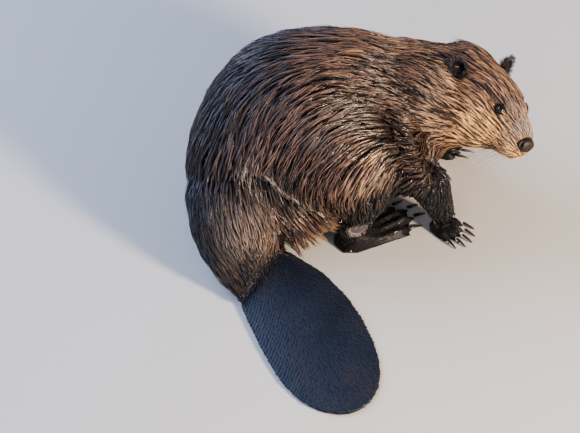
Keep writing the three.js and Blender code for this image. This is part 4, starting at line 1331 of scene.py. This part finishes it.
# nose: bare wet leather with comma nostrils
nosePlan = {"at": (119, 0, -38), "radii": (9.0, 14.0, 10.5), "nostril": (0.35, 0.90, 0.27), "deep": 4.5}
noseSkin, tree, shader = newMaterial("wetNoseLeather")
place = addNode(tree, "TexCoord", out="Object")
cells = addNode(tree, "TexVoronoi", {}, {"Vector": place, "Scale": 700.0})  # 1.4 mm pebbles
shade = addNode(tree, "ValToRGB", {}, {"Fac": cells}, stops=[(0.0, "#33201c"), (0.8, "#180d0c")])
# painted shade: the nostrils' insides are coloured near-black
inside = addNode(tree, "Attribute", {"attribute_name": "inside"}, out="Fac")
shade = addNode(tree, "Mix", {"data_type": "RGBA"}, {"Factor": inside, 6: shade, 7: linear("#050303")}, 2)
dull = addNode(tree, "MapRange", {}, {"Value": inside, "To Min": 0.42, "To Max": 0.85})
pebbles = addNode(tree, "Bump", {"invert": True}, {"Strength": 0.6, "Distance": 0.0007, "Height": cells})
plug(tree, shader, {"Base Color": shade, "Roughness": dull, "Normal": pebbles})
bpy.ops.mesh.primitive_uv_sphere_add(segments=64, ring_count=44, radius=1)
nose = bpy.context.object
nose.name = "nose_leather"
ball = readPoints(nose.data)
shape = ball * nosePlan["radii"]
# flattened in front, split by a groove, narrower below
shape[:, 0] -= 1.6 * np.clip(ball[:, 0], 0, 1) ** 3
shape[:, 1] *= 1 - 0.22 * np.clip(-ball[:, 2], 0, 1)
shape[:, 0] -= 0.9 * bump(shape[:, 1], 0, 0.9) * (ball[:, 2] < 0.3)
inside = np.zeros(len(ball))
for side in (-1, 1):
    hole = unit(mirrored(nosePlan["nostril"], side))
    rel = ball - hole
    comma = rel[:, 0] * 0.95 - rel[:, 1] * side * 0.26 + 0.5 * rel[:, 2] ** 2  # bent round the nostril's wing
    near = np.exp(-((comma / 0.19) ** 2 + (rel[:, 2] / 0.38) ** 2)) * (ball[:, 1] * side > 0)
    shape -= near[:, None] * hole * nosePlan["deep"]
    inside = np.maximum(inside, ease(0.30, 0.62, near))
writePoints(nose.data, headAt + ((shape + nosePlan["at"]) * mm) @ headAxes)
writeMark(nose.data, "inside", inside)
bpy.ops.object.shade_smooth()
nose.data.materials.append(noseSkin)
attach(nose, "root")
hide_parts("nose_pad")

# whiskers: stiff tapered bristles in rows on the upper lip
whiskerPlan = {"rows": 4, "each": 6, "length": (24, 44), "thick": 0.55, "sides": 5, "steps": 7}
bristle, tree, shader = newMaterial("whiskerBristle")
shade, _ = mottled(tree, 120.0, 2.0, [(0.3, "#2a211c"), (0.7, "#8a7a66")])
plug(tree, shader, {"Base Color": shade, "Roughness": 0.35})


def addBristle(corners, faces, foot, out, fall, reach):
    # rings from the foot, just inside the lip, to a tip that falls away
    sides, steps = whiskerPlan["sides"], whiskerPlan["steps"]
    start = len(corners)
    for step in range(steps):
        t = step / steps
        at = foot + (out * t + fall * t * t) * reach - out * mm * (step == 0)
        first = unit(np.cross(unit(out + 2 * fall * t), headUp))
        second = np.cross(unit(out + 2 * fall * t), first)
        r = whiskerPlan["thick"] * 0.5 * mm * (1 - 0.75 * t)
        for c in range(sides):
            angle = 2 * math.pi * c / sides
            corners.append(at + (first * math.cos(angle) + second * math.sin(angle)) * r)
    corners.append(foot + (out + fall) * reach)
    faces.append(tuple(start + c for c in reversed(range(sides))))
    for step in range(steps):
        for c in range(sides):
            p, q = start + step * sides + c, start + step * sides + (c + 1) % sides
            faces.append((p, q, q + sides, p + sides) if step < steps - 1 else (p, q, len(corners) - 1))


for side, name in ((-1, "right"), (1, "left")):
    corners, faces = [], []
    for row in range(whiskerPlan["rows"]):
        for k in range(whiskerPlan["each"]):
            beside = fromHead(108 - 5.5 * k, side * 40, -44 - 4.2 * row + 0.6 * k)
            hit = skinTree.ray_cast(Vector(beside), Vector(unit(-side * headLeft)))[0]
            if hit is None:
                continue
            shortest, longest = whiskerPlan["length"]
            reach = (shortest + (longest - shortest) * rng.random()) * mm
            out = (-0.42 + 0.1 * rng.normal(), side * 0.80, -0.34 - 0.16 * row + 0.1 * rng.normal())
            fall = np.array([0, 0, -1.0]) * 0.35 - headFore * 0.30
            addBristle(corners, faces, np.array(hit), unit(np.array(out)) @ headAxes, fall, reach)
    made = bpy.data.meshes.new("whiskers_" + name)
    made.from_pydata([tuple(c) for c in corners], [], faces)
    piece = bpy.data.objects.new("whiskers_" + name, made)
    bpy.context.scene.collection.objects.link(piece)
    editAll(piece, bpy.ops.mesh.normals_make_consistent, inside=False)
    bpy.ops.object.shade_smooth()
    made.materials.append(bristle)
    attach(piece, "root")
print("nose and whiskers made")

# claws: the solids' claws, rounded off, and filled out again as the rounding thins them
clawPlan = {"rounding": 2, "fuller": 0.5 * mm}
clawHorn, tree, shader = newMaterial("clawHorn")
shade, _ = mottled(tree, 180.0, 3.0, [(0.3, "#1a1513"), (0.75, "#3b312a")])
plug(tree, shader, {"Base Color": shade, "Roughness": 0.3})
for foot in feet:
    names = [f"{foot}_claw_{k}" for k in range(1, 6)]
    claws = copyOf(names, foot + "_claws")
    addModifier(claws, "SUBSURF", levels=clawPlan["rounding"], render_levels=clawPlan["rounding"])
    addModifier(claws, "DISPLACE", strength=clawPlan["fuller"], mid_level=0)
    applyAll(claws)
    bpy.ops.object.shade_smooth()
    claws.data.materials.append(clawHorn)
    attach(claws, "root")
    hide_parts(*names)
print("claws made")
